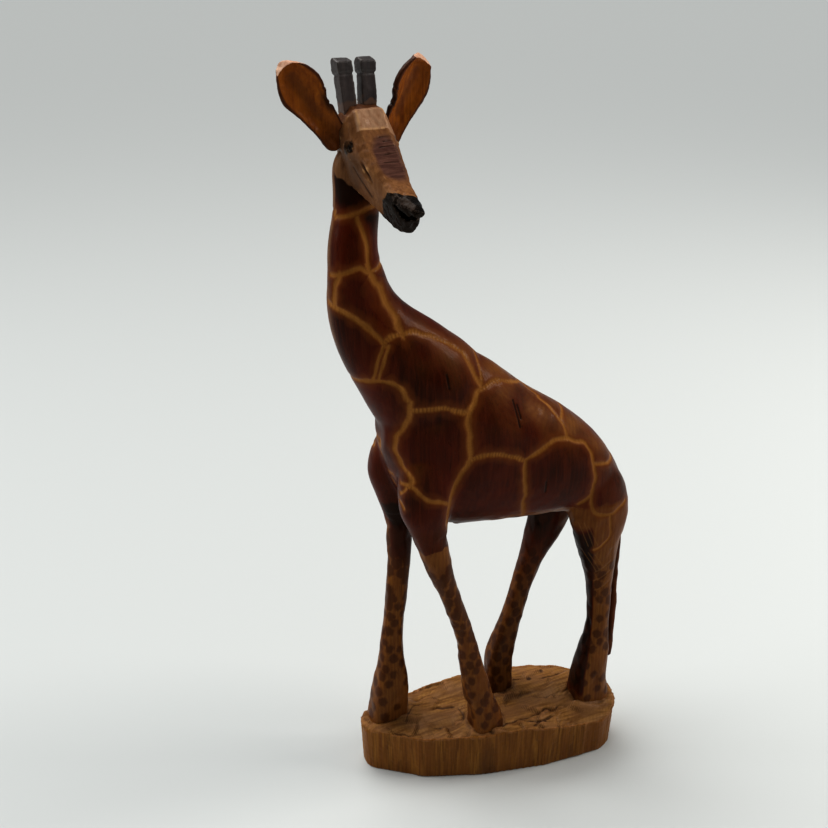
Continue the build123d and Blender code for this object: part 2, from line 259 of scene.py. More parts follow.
def ripple(points, size, seed, waves=20):
    """Smooth random numbers, mostly from -1.5 to 1.5, that change over about this many millimetres."""
    draw = np.random.default_rng(seed)
    ways = draw.normal(size=(waves, 3))
    ways /= np.linalg.norm(ways, axis=1)[:, None]
    ways *= (2 * pi / size * draw.uniform(0.5, 1.3, waves))[:, None]
    turns = points @ ways.T + draw.uniform(0, 2 * pi, waves)
    return np.sin(turns).sum(axis=1) / np.sqrt(waves / 2)


def step(values, low, high):
    """0 up to low, 1 from high on, and a smooth rise between."""
    t = np.clip((values - low) / (high - low), 0, 1)
    return t * t * (3 - 2 * t)


# ---- meshes ------------------------------------------------------


def shown(name, data):
    """A new object in the scene with this mesh, light or camera."""
    made = bpy.data.objects.new(name, data)
    bpy.context.scene.collection.objects.link(made)
    return made


def new_object(name, points, faces):
    mesh = bpy.data.meshes.new(name)
    mesh.from_pydata([tuple(p) for p in points], [], faces)
    mesh.update()
    return shown(name, mesh)


def drop(made):
    mesh = made.data
    bpy.data.objects.remove(made)
    bpy.data.meshes.remove(mesh)


def read(items, what, width, kind=np.float32):
    """One fact of each of a mesh's vertices, edges, faces or corners, with this many numbers a row."""
    flat = np.empty(len(items) * width, kind)
    items.foreach_get(what, flat)
    return flat.reshape(-1, width) if width > 1 else flat


def places(mesh):
    return read(mesh.vertices, "co", 3).astype(float)


def normals(mesh):
    return read(mesh.vertices, "normal", 3).astype(float)


def put(mesh, points):
    mesh.vertices.foreach_set("co", points.astype(np.float32).ravel())
    mesh.update()


def store(mesh, **facts):
    """Gives each vertex of the mesh these numbers, for its material."""
    for name, values in facts.items():
        attribute = mesh.attributes.new(name, "FLOAT", "POINT")
        attribute.data.foreach_set("value", values.astype(np.float32))


def neighbour_mean(values, edges):
    """The mean of each vertex's neighbours, for one number or a row of numbers a vertex."""
    many = values.reshape(len(values), -1)
    count = np.bincount(edges.ravel(), minlength=len(many))
    total = np.empty_like(many)
    for column in range(many.shape[1]):
        total[:, column] = np.bincount(edges[:, 0], many[edges[:, 1], column], len(many))
        total[:, column] += np.bincount(edges[:, 1], many[edges[:, 0], column], len(many))
    return (total / np.maximum(count, 1)[:, None]).reshape(values.shape)


def evened(values, edges, times):
    """The values, each replaced by its neighbours' mean, this many times."""
    for _ in range(times):
        values = neighbour_mean(values, edges)
    return values


def sanded(points, edges, times, share=0.4):
    """The points, moved this share of the way to the middle of their neighbours, this many times."""
    for _ in range(times):
        points = points + share * (neighbour_mean(points, edges) - points)
    return points


def hollow_of(points, outs, edges):
    """How far each point lies below the middle of its neighbours."""
    return ((neighbour_mean(points, edges) - points) * outs).sum(axis=1)


def ridge_of(mesh, edges, times=2):
    """How far each vertex stands proud of its neighbours, evened out."""
    return evened(-hollow_of(places(mesh), normals(mesh), edges), edges, times)


def filled(mesh, points, edges, times, least, where=lambda points: 1.0):
    """The points, with each hollow deeper than this filled a little at a time."""
    for _ in range(times):
        put(mesh, points)
        outs = normals(mesh)
        fill = np.maximum(hollow_of(points, outs, edges) - least, 0) * where(points)
        points = points + outs * fill[:, None] * 0.9
    return points


def tree_of(points):
    tree = KDTree(len(points))
    for i, point in enumerate(points):
        tree.insert(point, i)
    tree.balance()
    return tree


def nearest(points, tree):
    """For each point, the index of the nearest one in the tree, and how far away it is."""
    found = [tree.find(point)[1:] for point in points]
    return np.array([i for i, _ in found]), np.array([far for _, far in found])


def apply_modifiers(made):
    depsgraph = bpy.context.evaluated_depsgraph_get()
    old = made.data
    made.data = bpy.data.meshes.new_from_object(made.evaluated_get(depsgraph))
    made.modifiers.clear()
    bpy.data.meshes.remove(old)
    return made


def remesh(made, voxel):
    modifier = made.modifiers.new("remesh", "REMESH")
    modifier.mode = "VOXEL"
    modifier.voxel_size = voxel
    modifier.use_smooth_shade = True
    return apply_modifiers(made)


def ready_to_carve(made, voxel, times, share=0.4):
    """Gives the object even faces and sands off their steps: its mesh, edges, points and normals."""
    mesh = remesh(made, voxel).data
    edges = read(mesh.edges, "vertices", 2, np.int32)
    points = sanded(places(mesh), edges, times, share)
    put(mesh, points)
    return mesh, edges, points, normals(mesh)


def joined(name, parts):
    """One object with all of the meshes of these, which are dropped."""
    points, faces = [], []
    for part in parts:
        first = len(points)
        points += [tuple(v.co) for v in part.data.vertices]
        faces += [[first + i for i in p.vertices] for p in part.data.polygons]
        drop(part)
    return new_object(name, points, faces)


def copy_of(made, name):
    return shown(name, made.data.copy())


def boolean(made, other, operation):
    """Cuts the object with another one."""
    modifier = made.modifiers.new("cut", "BOOLEAN")
    modifier.operation = operation
    modifier.solver = "MANIFOLD"
    modifier.object = other
    return apply_modifiers(made)


def outward(made):
    """Turns all faces to look outwards."""
    shape = bmesh.new()
    shape.from_mesh(made.data)
    bmesh.ops.recalc_face_normals(shape, faces=shape.faces)
    shape.to_mesh(made.data)
    shape.free()
    return made


def tube(name, points, ring):
    """A closed solid whose points come ring after ring, with this many in a ring."""
    faces = [list(range(ring)), [len(points) - 1 - k for k in range(ring)]]
    for start in range(0, len(points) - ring, ring):
        for k in range(ring):
            a, b = start + k, start + (k + 1) % ring
            faces.append([a, b, b + ring, a + ring])
    return outward(new_object(name, points, faces))


def loft(name, centres, across, along, wide, long, power=2.0, turns=48):
    """A closed tube of rounded rings. A ring is an oval at a power of 2, and squarer above it."""
    angles = np.arange(turns) * 2 * pi / turns
    count = len(centres)
    across, along = np.broadcast_to(across, (count, 3)), np.broadcast_to(along, (count, 3))
    points = []
    for centre, u, v, a, b, p in zip(centres, across, along, wide, long, np.resize(power, count)):
        c = np.sign(np.cos(angles)) * np.abs(np.cos(angles)) ** (2 / p)
        s = np.sign(np.sin(angles)) * np.abs(np.sin(angles)) ** (2 / p)
        points += list(centre + np.outer(c * a, u) + np.outer(s * b, v))
    return tube(name, points, turns)


def hull_of(name, points):
    """The convex solid around these points."""
    shape = bmesh.new()
    for point in points:
        shape.verts.new(point)
    bmesh.ops.convex_hull(shape, input=shape.verts)
    mesh = bpy.data.meshes.new(name)
    shape.to_mesh(mesh)
    shape.free()
    return shown(name, mesh)


def slice_off(made, point, normal):
    """Cuts away what lies beyond a plane, and closes the cut."""
    shape = bmesh.new()
    shape.from_mesh(made.data)
    whole = shape.verts[:] + shape.edges[:] + shape.faces[:]
    plane = {"plane_co": Vector(point), "plane_no": Vector(normal)}
    cut = bmesh.ops.bisect_plane(shape, geom=whole, clear_outer=True, **plane)
    edges = [e for e in cut["geom_cut"] if isinstance(e, bmesh.types.BMEdge)]
    if edges:
        bmesh.ops.contextual_create(shape, geom=edges)
    shape.to_mesh(made.data)
    shape.free()


# ---- the skin: trunk, neck, legs and tail in one -----------------


def body_loft():
    x, low, high, wide = smooth_rows(BODY, 8).T
    middle = np.column_stack([x, 0 * x, (low + high) / 2])
    return loft("body_loft", middle, Y, Z, wide, (high - low) / 2, 2.08)


def neck_loft():
    x, y, z, tilt, long, wide = smooth_rows(NECK, 8).T
    tilt = np.radians(tilt)
    across = np.column_stack([np.cos(tilt), 0 * tilt, np.sin(tilt)])
    return loft("neck_loft", np.column_stack([x, y, z]), across, Y, long, wide)


def leg_loft(side, sections, grow=0.0):
    z, x, y, long, wide = smooth_rows(sections, 8).T
    power = 3.6 - 1.35 * step(z, 28, 75)
    return loft("leg_loft", np.column_stack([x, side * y, z]), X, Y, long + grow, wide + grow, power)


def tail_loft(grow=0.0):
    z, x, y, long, wide = smooth_rows(TAIL, 6).T
    return loft("tail_loft", np.column_stack([x, y, z]), X, Y, long + grow, wide + grow, 2.6)


def facet(points, outs, spacing, seed):
    """How far out each point is from flats that a knife would leave. The flats are three times as long
    up and down as they are wide."""
    draw = np.random.default_rng(seed)
    order = draw.permutation(len(points))[: int(len(points) * SKIN_VOXEL**2 / (3 * spacing**2))]
    squat = points * [1, 1, 1 / 3]
    tree = tree_of(squat[order])
    lowest = np.full(len(points), np.inf)
    found = np.array([[hit[1] for hit in tree.find_n(point, 3)] for point in squat])
    for column in range(3):
        site = order[found[:, column]]
        facing = np.maximum((outs * outs[site]).sum(axis=1), 0.35)
        rise = ((points[site] - points) * outs[site]).sum(axis=1) / facing
        lowest = np.minimum(lowest, rise)
    return np.clip(lowest, -0.6, 0.6)


def drawn_lines(tree):
    """The engraved lines on the skin: points every quarter millimetre, with each line's half width, how
    chopped it is, and the distance along it."""
    rows = []
    for side in (-1, 1):
        network = LINES + SHOULDER_LINES if side == -1 else LINES
        for number, (half_width, chop, corners) in enumerate(network):
            path = smooth_rows(corners, 40)
            length = np.concatenate([[0], np.cumsum(np.linalg.norm(np.diff(path, axis=0), axis=1))])
            marks = np.arange(0, length[-1], 0.25)
            x = np.interp(marks, length, path[:, 0])
            z = np.interp(marks, length, path[:, 1])
            flat = np.column_stack([x, 0 * x, z])
            x = x + 0.22 * ripple(flat, 7, number + 50)
            z = z + 0.22 * ripple(flat, 7, number + 90)
            if side == 1:
                x = x + 1.9 * ripple(flat, 34, 11)
                z = z + 1.9 * ripple(flat, 34, 12)
            for a, b, mark in zip(x, z, marks):
                hit = tree.ray_cast(Vector((a, side * 60, b)), Vector((0, -side, 0)))[0]
                if hit is None or hit.y * side < 0:
                    hit = tree.find_nearest(Vector((a, side * 0.5, b)))[0]
                rows.append((hit.x, hit.y, hit.z, half_width, chop, mark))
    return np.array(rows)


def scratched(tree, strokes, sides):
    """Points along straight strokes on the flanks, every quarter millimetre."""
    rows = []
    for side in sides:
        for (x0, z0), (x1, z1) in strokes:
            for t in np.linspace(0, 1, 50):
                place = Vector((x0 + (x1 - x0) * t, side * 60, z0 + (z1 - z0) * t))
                hit = tree.ray_cast(place, Vector((0, -side, 0)))[0]
                if hit is not None and hit.y * side > 0:
                    rows.append(tuple(hit))
    return np.array(rows)


# How far up each leg's spots reach, and how many columns of them go round it.
SPOTS = {
    "leg_front_left": (117, 6),
    "leg_front_right": (118, 6),
    "leg_hind_left": (98, 6),
    "leg_hind_right": (124, 6),
}


def spots_on(tree):
    """The stained spots on the legs: each one's place and radius."""
    draw = np.random.default_rng(5)
    rows = []
    for name, (side, sections) in LEGS.items():
        top, columns = SPOTS[name]
        shape = smooth_rows(sections, 8)[::-1]
        z = BASE_HEIGHT + 3.0
        row = 0
        while z < top:
            x, y, long, wide = (np.interp(z, shape[:, 0], shape[:, k]) for k in (1, 2, 3, 4))
            for k in range(columns):
                if draw.uniform() < 0.08:
                    continue
                angle = 2 * pi * (k + 0.5 * (row % 2) + draw.uniform(-0.2, 0.2)) / columns
                place = Vector((x + 1.3 * long * cos(angle), side * y + 1.3 * wide * sin(angle),
                                z + draw.uniform(-0.9, 0.9)))
                hit = tree.find_nearest(place)[0]
                radius = draw.uniform(1.5, 2.15) * (1.0 + 0.2 * (z > 85))
                rows.append((hit.x, hit.y, hit.z, radius))
            z += 4.3
            row += 1
    return np.array(rows)


def leg_of(points):
    """For each point, the number of the nearest leg and the way outwards from that leg's middle."""
    axes, numbers = [], []
    for number, (side, sections) in enumerate(LEGS.values()):
        for z, x, y, _, _ in smooth_rows(sections, 12):
            axes.append((x, side * y, z))
            numbers.append(number)
    found, _ = nearest(points, tree_of(axes))
    return np.array(numbers)[found], points - np.array(axes)[found]


def dye_and_painted_light_on(smooth, carved, outs, leg, out):
    """How dark the stain is, with painted shade and sheen in it, and how bare the nape. The stain is full (1)
    on the trunk and neck, with a hard end part way down the fore legs, and thin on the haunches and lower
    legs.
    Painted shade darkens the sides of the legs that face each other, their backs and their tops under the
    belly, nearly to black (1.6), and a band of the neck just under the jaw. A painted sheen, over real wear,
    lightens the upward-facing top of the trunk."""
    x = smooth[:, 0]
    z = smooth[:, 2] + 0.5 * ripple(smooth, 5, 41)
    # Painted shade: inner, forward and behind pick the sides of a leg that face the other legs, the front and
    # the back. Where they are added below they darken those sides and the legs' tops under the belly, up to
    # nearly black (1.6); the step(z, ...) heights without them are where the stain ends.
    inner = step(-out[:, 1] * np.where(leg % 2 == 0, -1, 1), 0.5, 4.0)
    forward = step(-out[:, 0], 1.5, 3.5)
    behind = step(out[:, 0], 2.0, 4.0)
    front_near = np.where(z > 121.5 + 0.18 * (x + 35), 0.93, 0.22 + 0.3 * inner)
    front_far = 0.20 + 0.8 * step(z, 120, 128) + 1.2 * np.maximum(inner, behind) * step(z, 100, 114)
    hind_near = 0.14 + 0.2 * step(z, 92, 118) + 0.8 * inner
    # Painted shade: a strip down the front inner side of the near hind leg, nearly black.
    strip = step(0.36 * out[:, 1] - 0.93 * out[:, 0], 2.4, 3.8)
    hind_near = np.maximum(hind_near, 1.6 * strip * step(z, 22, 34) * (1 - step(z, 112, 122)))
    hind_far = 0.30 + 0.7 * step(z, 70, 108) + 0.4 * behind * step(z, 45, 60)
    hind_far += 0.5 * forward * step(z, 96, 110)
    by_leg = np.choose(leg, [front_near, front_far, hind_near, hind_far])
    trunk_from = np.choose(leg, [131.0, 131.0, 127.0, 127.0])
    dye_with_painted_light = by_leg + (1 - by_leg) * step(z, trunk_from, trunk_from + 3)

    haunch = (leg > 1) & (x > 33) & (z > 98) & (out[:, 0] > -1.5)
    thin = 0.4 + 0.34 * step(z, 98, 116) + 0.16 * step(z, 124, 127) + 0.2 * step(z, 146, 152)
    dye_with_painted_light = np.where(haunch, np.minimum(dye_with_painted_light, thin), dye_with_painted_light)
    # Painted sheen over real wear: upward-facing parts of the trunk, and less of the neck, are made lighter.
    wear_and_painted_sheen = step(outs[:, 2], 0.02, 0.75) * step(z, 140, 150) * (0.8 + 0.35 * ripple(smooth, 12, 44))
    dye_with_painted_light -= 0.55 * wear_and_painted_sheen * (1 - 0.8 * step(z, 195, 215))
    dye_with_painted_light = np.where(carved[:, 0] > 54.5, np.maximum(dye_with_painted_light, 0.8 * (carved[:, 2] < 128)), dye_with_painted_light)  # the tail

    under_jaw = smooth[:, 2] - (266.4 - 0.71 * (x + 63)) + 0.5 * ripple(smooth, 5, 42)
    throat = step(-outs[:, 0] * 0.93 + outs[:, 1] * 0.36, 0.72, 0.93) * step(z, 196, 206) * (x < -40)
    dye_with_painted_light *= 1 - 0.7 * throat * (0.8 + 0.3 * ripple(smooth, 9, 43))
    # Painted shadow: a band of the neck just under the jaw line is darkened, up to nearly black.
    dye_with_painted_light += 0.6 * step(under_jaw, -12, -6) * (1 - throat)
    nape = np.maximum(step(under_jaw, -0.6, 0.8), 0.85 * throat * step(z, 205, 262))
    return np.clip(dye_with_painted_light, 0, 1.6), nape


def carve_skin():
    """The skin with its carved detail, and the numbers that its material needs at each vertex."""
    parts = [body_loft(), neck_loft(), tail_loft()]
    parts += [leg_loft(side, sections) for side, sections in LEGS.values()]
    skin = joined("skin", parts)
    mesh, edges, points, _ = ready_to_carve(skin, SKIN_VOXEL, 11, 0.5)
    smooth = sanded(filled(mesh, points, edges, 26, 0.004), edges, 3)
    put(mesh, smooth)
    outs = normals(mesh)

    tree = BVHTree.FromPolygons([tuple(p) for p in smooth], [tuple(p.vertices) for p in mesh.polygons])
    lines = drawn_lines(tree)
    found, far = nearest(smooth, tree_of(lines[:, :3]))
    line = far / (LINE_SPREAD * lines[found, 3] * (1 + 0.11 * ripple(smooth, 5, 3)))
    chop = lines[found, 4]
    along = lines[found, 5]
    _, scratch = nearest(smooth, tree_of(scratched(tree, SCRATCHES, (-1, 1))))
    _, nick = nearest(smooth, tree_of(scratched(tree, NICKS, (-1,))))

    low = smooth[:, 2] < 128
    spots = spots_on(tree)
    found, far = nearest(smooth * [1, 1, 0.84], tree_of(spots[:, :3] * [1, 1, 0.84]))
    spot = np.where(low, far - spots[found, 3], FAR_OFF)
    leg, out = leg_of(smooth)

    flats = evened(facet(smooth, outs, 4.2, 21), edges, 3)
    move = np.where(low, 0.6, 0.05) * (flats - 0.08)
    move += 0.16 * ripple(smooth, 26, 31) + np.where(low, 0.05, 0.02) * ripple(smooth, 6, 32)
    chatter = 0.5 + 0.5 * np.sin(along * 2 * pi / BLADE_BEAT + 0.5 * ripple(smooth, 3, 33))
    move -= LINE_DEPTH * np.exp(-(line**2) * 1.1) * (1 - 0.45 * chop * chatter)
    move -= 0.16 * np.exp(-((scratch / 0.32) ** 2)) + 0.3 * np.exp(-((nick / 0.4) ** 2))
    carved = smooth + outs * move[:, None]
    put(mesh, carved)
    dye_with_painted_light, nape = dye_and_painted_light_on(smooth, carved, outs, leg, out)
    facts = {"nape": nape, "line": line, "chop": chop, "along": along, "scratch": scratch, "nick": nick,
             "spot": spot, "dye_with_painted_light": dye_with_painted_light, "ridge": ridge_of(mesh, edges, 3)}
    return skin, facts


# ---- cutting the skin into pieces --------------------------------


def wedge(point, slope):
    """A large block whose lower side is a plane through this point in x and z, sloping up towards +X."""
    along, up = direction(0, slope), direction(180, 90 - slope)
    start = point[0] * X + point[1] * Z
    reach = [(a, u, w) for a in (-120, 120) for u in (0, 160) for w in (-80, 80)]
    return hull_of("wedge", [start + along * a + up * u + Y * w for a, u, w in reach])


def cut_up(skin):
    """The skin's pieces, one for each CAD node."""
    regions = {"tail": tail_loft(grow=0.7)}
    for name, (side, sections) in LEGS.items():
        bottom = sections[-1]
        longer = sections[:-1] + [(bottom[0] - 4, *bottom[1:])]
        regions[name] = leg_loft(side, longer, grow=2.0)
    regions["neck"] = wedge(*NECK_CUT)
    pieces = {}
    rest = copy_of(skin, "carved_body")
    for name, region in regions.items():
        pieces[name] = boolean(copy_of(rest, "carved_" + name), region, "INTERSECT")
        boolean(rest, region, "DIFFERENCE")
        drop(region)
    pieces["body"] = rest
    return pieces


def keep_facts(piece, source, facts):
    """Gives a cut piece the numbers and the shading of the skin that it was cut from. Faces that lie on the
    skin are shaded as the skin was, cut faces are shaded flat, and the edges between them are sharp."""
    mesh = piece.data
    original = places(source)
    tree = tree_of(original)
    hits = [tree.find_n(point, 3) for point in places(mesh)]
    index = np.array([[h[1] for h in hit] for hit in hits])
    weight = 1 / (np.array([[h[2] for h in hit] for hit in hits]) ** 2 + 1e-9)
    weight /= weight.sum(axis=1)[:, None]
    store(mesh, **{name: (values[index] * weight).sum(axis=1) for name, values in facts.items()})
    outs = (normals(source)[index] * weight[:, :, None]).sum(axis=1)
    outs /= np.linalg.norm(outs, axis=1)[:, None]

    surface = BVHTree.FromPolygons([tuple(p) for p in original], [tuple(p.vertices) for p in source.polygons])
    middles = read(mesh.polygons, "center", 3)
    far = np.array([surface.find_nearest(Vector(middle))[3] for middle in middles])
    sizes = read(mesh.polygons, "loop_total", 1, np.int32)
    corner_face = np.repeat(np.arange(len(sizes)), sizes)
    corner_vertex = read(mesh.loops, "vertex_index", 1, np.int32)
    corner_edge = read(mesh.loops, "edge_index", 1, np.int32)
    on_skin = far[corner_face] < 0.02
    skin_sides = np.bincount(corner_edge, on_skin, len(mesh.edges))
    cut_sides = np.bincount(corner_edge, ~on_skin, len(mesh.edges))
    mesh.edges.foreach_set("use_edge_sharp", (skin_sides > 0) & (cut_sides > 0))
    flat = read(mesh.polygons, "normal", 3)[corner_face]
    chosen = np.where(on_skin[:, None], outs[corner_vertex], flat)
    mesh.normals_split_custom_set([tuple(v) for v in chosen])


# ---- head --------------------------------------------------------


# Cuts of the knife in the face: their points along, left and up, half width and depth.
FACE_CUTS = [
    ([(6.5, -9.2, 5.2), (11.0, -8.0, 3.6), (17.5, -6.2, 1.4)], 0.42, 0.55),
    ([(6.5, 9.2, 5.0), (12.0, 7.8, 3.2), (16.0, 6.6, 1.8)], 0.42, 0.45),
    ([(-3.5, -8.6, 8.4), (-0.5, -9.6, 5.6), (1.0, -10.4, 1.0), (0.5, -10.2, -3.0)], 0.45, 0.40),
    ([(-3.0, 8.6, 8.4), (0.0, 9.6, 5.6), (1.4, 10.4, 1.0)], 0.45, 0.40),
    ([(8.0, -9.4, 0.0), (13.0, -7.6, -2.4), (18.0, -5.8, -4.2)], 0.50, 0.30),
    ([(3.4, 0.6, 8.0), (3.2, 4.9, 7.8)], 0.30, 0.26),
    ([(5.2, 1.4, 7.6), (5.0, 4.8, 7.4)], 0.26, 0.24),
    ([(7.4, -1.0, 7.2), (7.0, 4.6, 7.0)], 0.24, 0.20),
    ([(10.4, 0.0, 6.6), (10.0, 4.4, 6.4)], 0.24, 0.16),
    ([(13.6, -1.6, 5.9), (13.8, 3.6, 5.8)], 0.24, 0.14),
]

# The brow's edges, where a painted highlight runs along them: their points along, left and up.
BROW_EDGES = [[(-6.0, -5.0, 12.2), (0.0, -5.1, 9.0)], [(0.0, -5.1, 9.0), (0.0, 3.6, 9.0)]]


def in_axes(vectors):
    """The vectors in the head's own frame: along, left and up."""
    return vectors @ HEAD_AXES.T


def in_head(points):
    """The points in the head's own frame: along, left and up."""
    return in_axes(points - HEAD_CENTRE)


def to_path(points, path):
    """How far each point is from a smooth curve through these places."""
    return nearest(points, tree_of(smooth_rows(path, 24)))[1]


def oval(local, centre, radii):
    """How far out each point lies, in the radii of an egg round this centre: 1 on its surface."""
    return np.linalg.norm((local - centre) / radii, axis=1)


def shrink_into(local, move, centre, radii):
    """Pushes what lies inside an egg on either side out to its surface, so that it leaves its hollow."""
    for way in (-1, 1):
        middle = np.array([centre[0], way * centre[1], centre[2]])
        offset = (local - middle) / radii
        far = np.linalg.norm(offset, axis=1)
        goal = middle + offset / np.maximum(far, 0.2)[:, None] * radii
        move += (goal - local) * step(1 - far, 0, 0.25)[:, None]


def head_solid():
    """The head in flat cuts, with its open mouth and the bump on its nose."""
    points = []
    for along, outline in HEAD:
        points += [head_point(along, width, up) for width, up in outline]
        points += [head_point(along, -width, up) for width, up in reversed(outline)]
    head = remesh(tube("carved_head", points, 2 * len(HEAD[0][1])), HEAD_VOXEL)
    end = HEAD[-1][0] + 2
    corners = [(MOUTH_START, w, MOUTH_HEIGHT) for w in (-9, 9)]
    corners += [(end, w, MOUTH_HEIGHT + up) for w in (-9, 9) for up in (-1.3, 1.1)]
    mouth = hull_of("mouth", [head_point(*corner) for corner in corners])
    boolean(head, mouth, "DIFFERENCE")
    drop(mouth)
    bump = [head_point(a, 0, u) for a, u in ((29.0, 3.4), (35.0, 4.6), (38.6, 5.3))]
    nose = loft("nose", bump, LEFT, CROWN, [3.3, 2.9, 1.8], [2.0, 1.9, 1.2])
    return joined("carved_head", [head, nose])


def on_nose(points):
    along, _, up = in_head(points).T
    return (along > 25) & (up > 3.4)


def make_head():
    """The head: flat knife cuts, with eyes, nostrils, an open mouth and a bump on the nose."""
    head = head_solid()
    mesh, edges, points, _ = ready_to_carve(head, HEAD_VOXEL, 1)
    local = in_head(filled(mesh, points, edges, 14, 0.003, on_nose))
    move = np.zeros_like(local)
    shrink_into(local, move, (2.6, 10.4, 4.4), (3.4, 2.6, 1.7))  # eye sockets
    shrink_into(local, move, (31.5, 4.4, 6.0), (2.2, 1.5, 1.4))  # nostrils
    local = local + move
    on_side = np.abs(local[:, 1]) > 6.0
    eye = oval(local, (2.6, 0, 4.3), (1.9, 99, 0.95))
    local[:, 1] += 1.1 * on_side * np.sqrt(np.clip(1 - eye**2, 0, 1)) * np.sign(local[:, 1])
    put(mesh, local @ HEAD_AXES + HEAD_CENTRE)
    ways = in_axes(normals(mesh))
    crease = np.full(len(local), FAR_OFF)
    for path, half_width, depth in FACE_CUTS:
        far = to_path(local, path) / half_width
        crease = np.minimum(crease, far)
        local = local - ways * (depth * np.exp(-(far**2)))[:, None]
    points = local @ HEAD_AXES + HEAD_CENTRE
    put(mesh, points)
    along, left, up = local.T
    move = 0.08 * ripple(points, 9, 62) + 0.04 * ripple(points, 2.6, 63)
    move += step(along, 24, 29) * (0.08 * ripple(points, 3.0, 64) + 0.02 * ripple(points, 1.2, 65))
    put(mesh, points + normals(mesh) * move[:, None])

    # How high the crown's edge and the temple are and how wide the crown is, at each point.
    stations = [station for station, _ in HEAD]
    width = np.interp(along, stations, [outline[0][0] for _, outline in HEAD])
    top = np.interp(along, stations, [outline[0][1] for _, outline in HEAD])
    temple = np.interp(along, stations, [outline[1][1] for _, outline in HEAD])
    on_top = step(up - top, -1.3, -0.5)
    wobble = 0.8 * ripple(places(mesh), 6, 66)
    burnt = step(along + wobble - 2.2 * on_top - 0.5 * left, 25.5, 28.0)
    # Painted shade: the throat under the jaw is darkened like the charred muzzle.
    throat = step(-(up + 0.55 * np.clip(along, 0, 14) + 0.4 * wobble), 5.0, 8.5) * step(along, -9, -5)
    burnt = np.maximum(burnt, 0.9 * throat * (1 - step(along, 17, 22)))
    # Painted shade: the eye sockets are darkened.
    socket = oval(local, (1.5, 0, 3.2), (2.8, 99, 3.4))
    burnt = np.maximum(burnt, 0.66 * on_side * (1 - step(socket + 0.2 * wobble, 0.55, 1.0)))
    bridge = oval(local, (12.0, 1.2, 0), (9.6, 5.6, 1e3))
    violet = on_top * (1 - step(bridge + 0.08 * wobble, 0.8, 1.15))
    cheek = (1 - on_top) * step(-up + 0.3 * wobble, -6.5, -2.0) * (1 - 0.65 * step(along + wobble, 9, 15))
    brow = on_top * (along < 0.2) * (along > -7.5)
    # Painted light: the far temple's facet is made pale as if lit from that side.
    far_temple = (left > width + 0.3) & (up > temple) & (along < 1.5) & (along > -7.0)
    edge = np.min([to_path(local, path) for path in BROW_EDGES], axis=0)
    # pale holds the brow's bare knife cut and, at 0.7, the far temple's painted light.
    store(mesh, burnt=burnt, violet=violet, cheek=0.85 * np.clip(cheek, 0, 1), edge=edge, crease=crease,
          pale=np.maximum(brow, 0.7 * far_temple), crown=step(-along, 6.8, 8.2), ridge=ridge_of(mesh, edges))
    return head


# ---- ears and horns ----------------------------------------------

EAR_COLUMNS = 32
# Notches in the inner edge of an ear: share of its length, size as a share, and depth.
EAR_NOTCHES = [(0.47, 0.05, 0.9), (0.40, 0.022, 0.7), (0.58, 0.016, 0.35)]


def make_ear(name, side, root_place, tip_place, head):
    """One ear: a hollowed leaf with a ragged inner edge, whose tip was sliced off flat."""
    root = head_point(*root_place, side)
    length = head_point(*tip_place, side) - root
    across = unit(np.cross(length, head_vector(*EAR_FACING, side)))
    facing = unit(np.cross(across, length))
    shape = smooth_rows([(-0.07, 2.4)] + EAR + [(1.07, 2.4)], 8)
    t = np.linspace(-1, 1, EAR_COLUMNS)
    back = 0.5 - EAR_THICKNESS / 2 * np.sqrt(np.maximum(0, 1 - np.abs(t) ** 2.4))
    points = []
    for share, half_width in shape:  # over the back from one rim to the other, and back across the hollow
        middle = root + length * share
        scoop = 2.3 * step(share, 0.02, 0.35) * (1 - 0.6 * step(share, 0.88, 1.0))
        hollow = 0.31 * EAR_THICKNESS - scoop * (1 - np.minimum(np.abs(t) / 0.84, 1) ** 2)
        points += list(middle + np.outer(t * half_width, across) + np.outer(back, facing))
        points += list(middle - np.outer(t * half_width * 0.985, across) + np.outer(hollow, facing))
    ear = tube("carved_" + name, points, 2 * EAR_COLUMNS)
    along = unit(length)
    first = unit(along * 0.85 + facing * 0.5)
    second = unit(along + across * (0.7 if side == 1 else -0.5))
    slice_off(ear, root + length + along * 0.2, first)
    slice_off(ear, root + length + along * 1.6, second)

    mesh, edges, points, _ = ready_to_carve(ear, HEAD_VOXEL, 2)
    offset = points - root
    share = offset @ along / np.linalg.norm(length)
    sideways = offset @ across
    t = sideways / np.interp(share, *shape.T)
    inner_way = np.sign((LEFT @ across) * side)
    edge = t * inner_way
    for at, size, bite in EAR_NOTCHES:
        notch = np.exp(-(((share - at) / size) ** 2)) * step(edge, 0.55, 0.95)
        points -= np.outer(notch * bite * inner_way, across)
    put(mesh, points)
    outs = normals(mesh)
    points += outs * (0.10 * ripple(points, 8, 71) + 0.05 * ripple(points, 2.5, 72))[:, None]
    stripes = np.sin(sideways * 2 * pi / 2.3 + 1.4 * ripple(points, 14, 73))
    scooped = step(offset @ facing, -1.5, 0.5) * (1 - step(np.abs(t), 0.75, 0.9))
    scooped *= step(outs @ facing, 0.2, 0.6)
    put(mesh, points + outs * (0.04 * stripes * scooped)[:, None])
    sliced = np.maximum(outs @ first, outs @ second)
    store(mesh, pale=step(sliced, 0.86, 0.94) * step(share, 0.80, 0.86), hollow=scooped, share=share,
          rim=step(np.abs(t), 0.86, 0.95) * (1 - step(share, 0.93, 0.97)),
          notch=step(edge, 0.2, 0.9) * np.exp(-(((share - 0.42) / 0.15) ** 2)), ridge=ridge_of(mesh, edges))
    boolean(ear, head, "DIFFERENCE")
    return ear


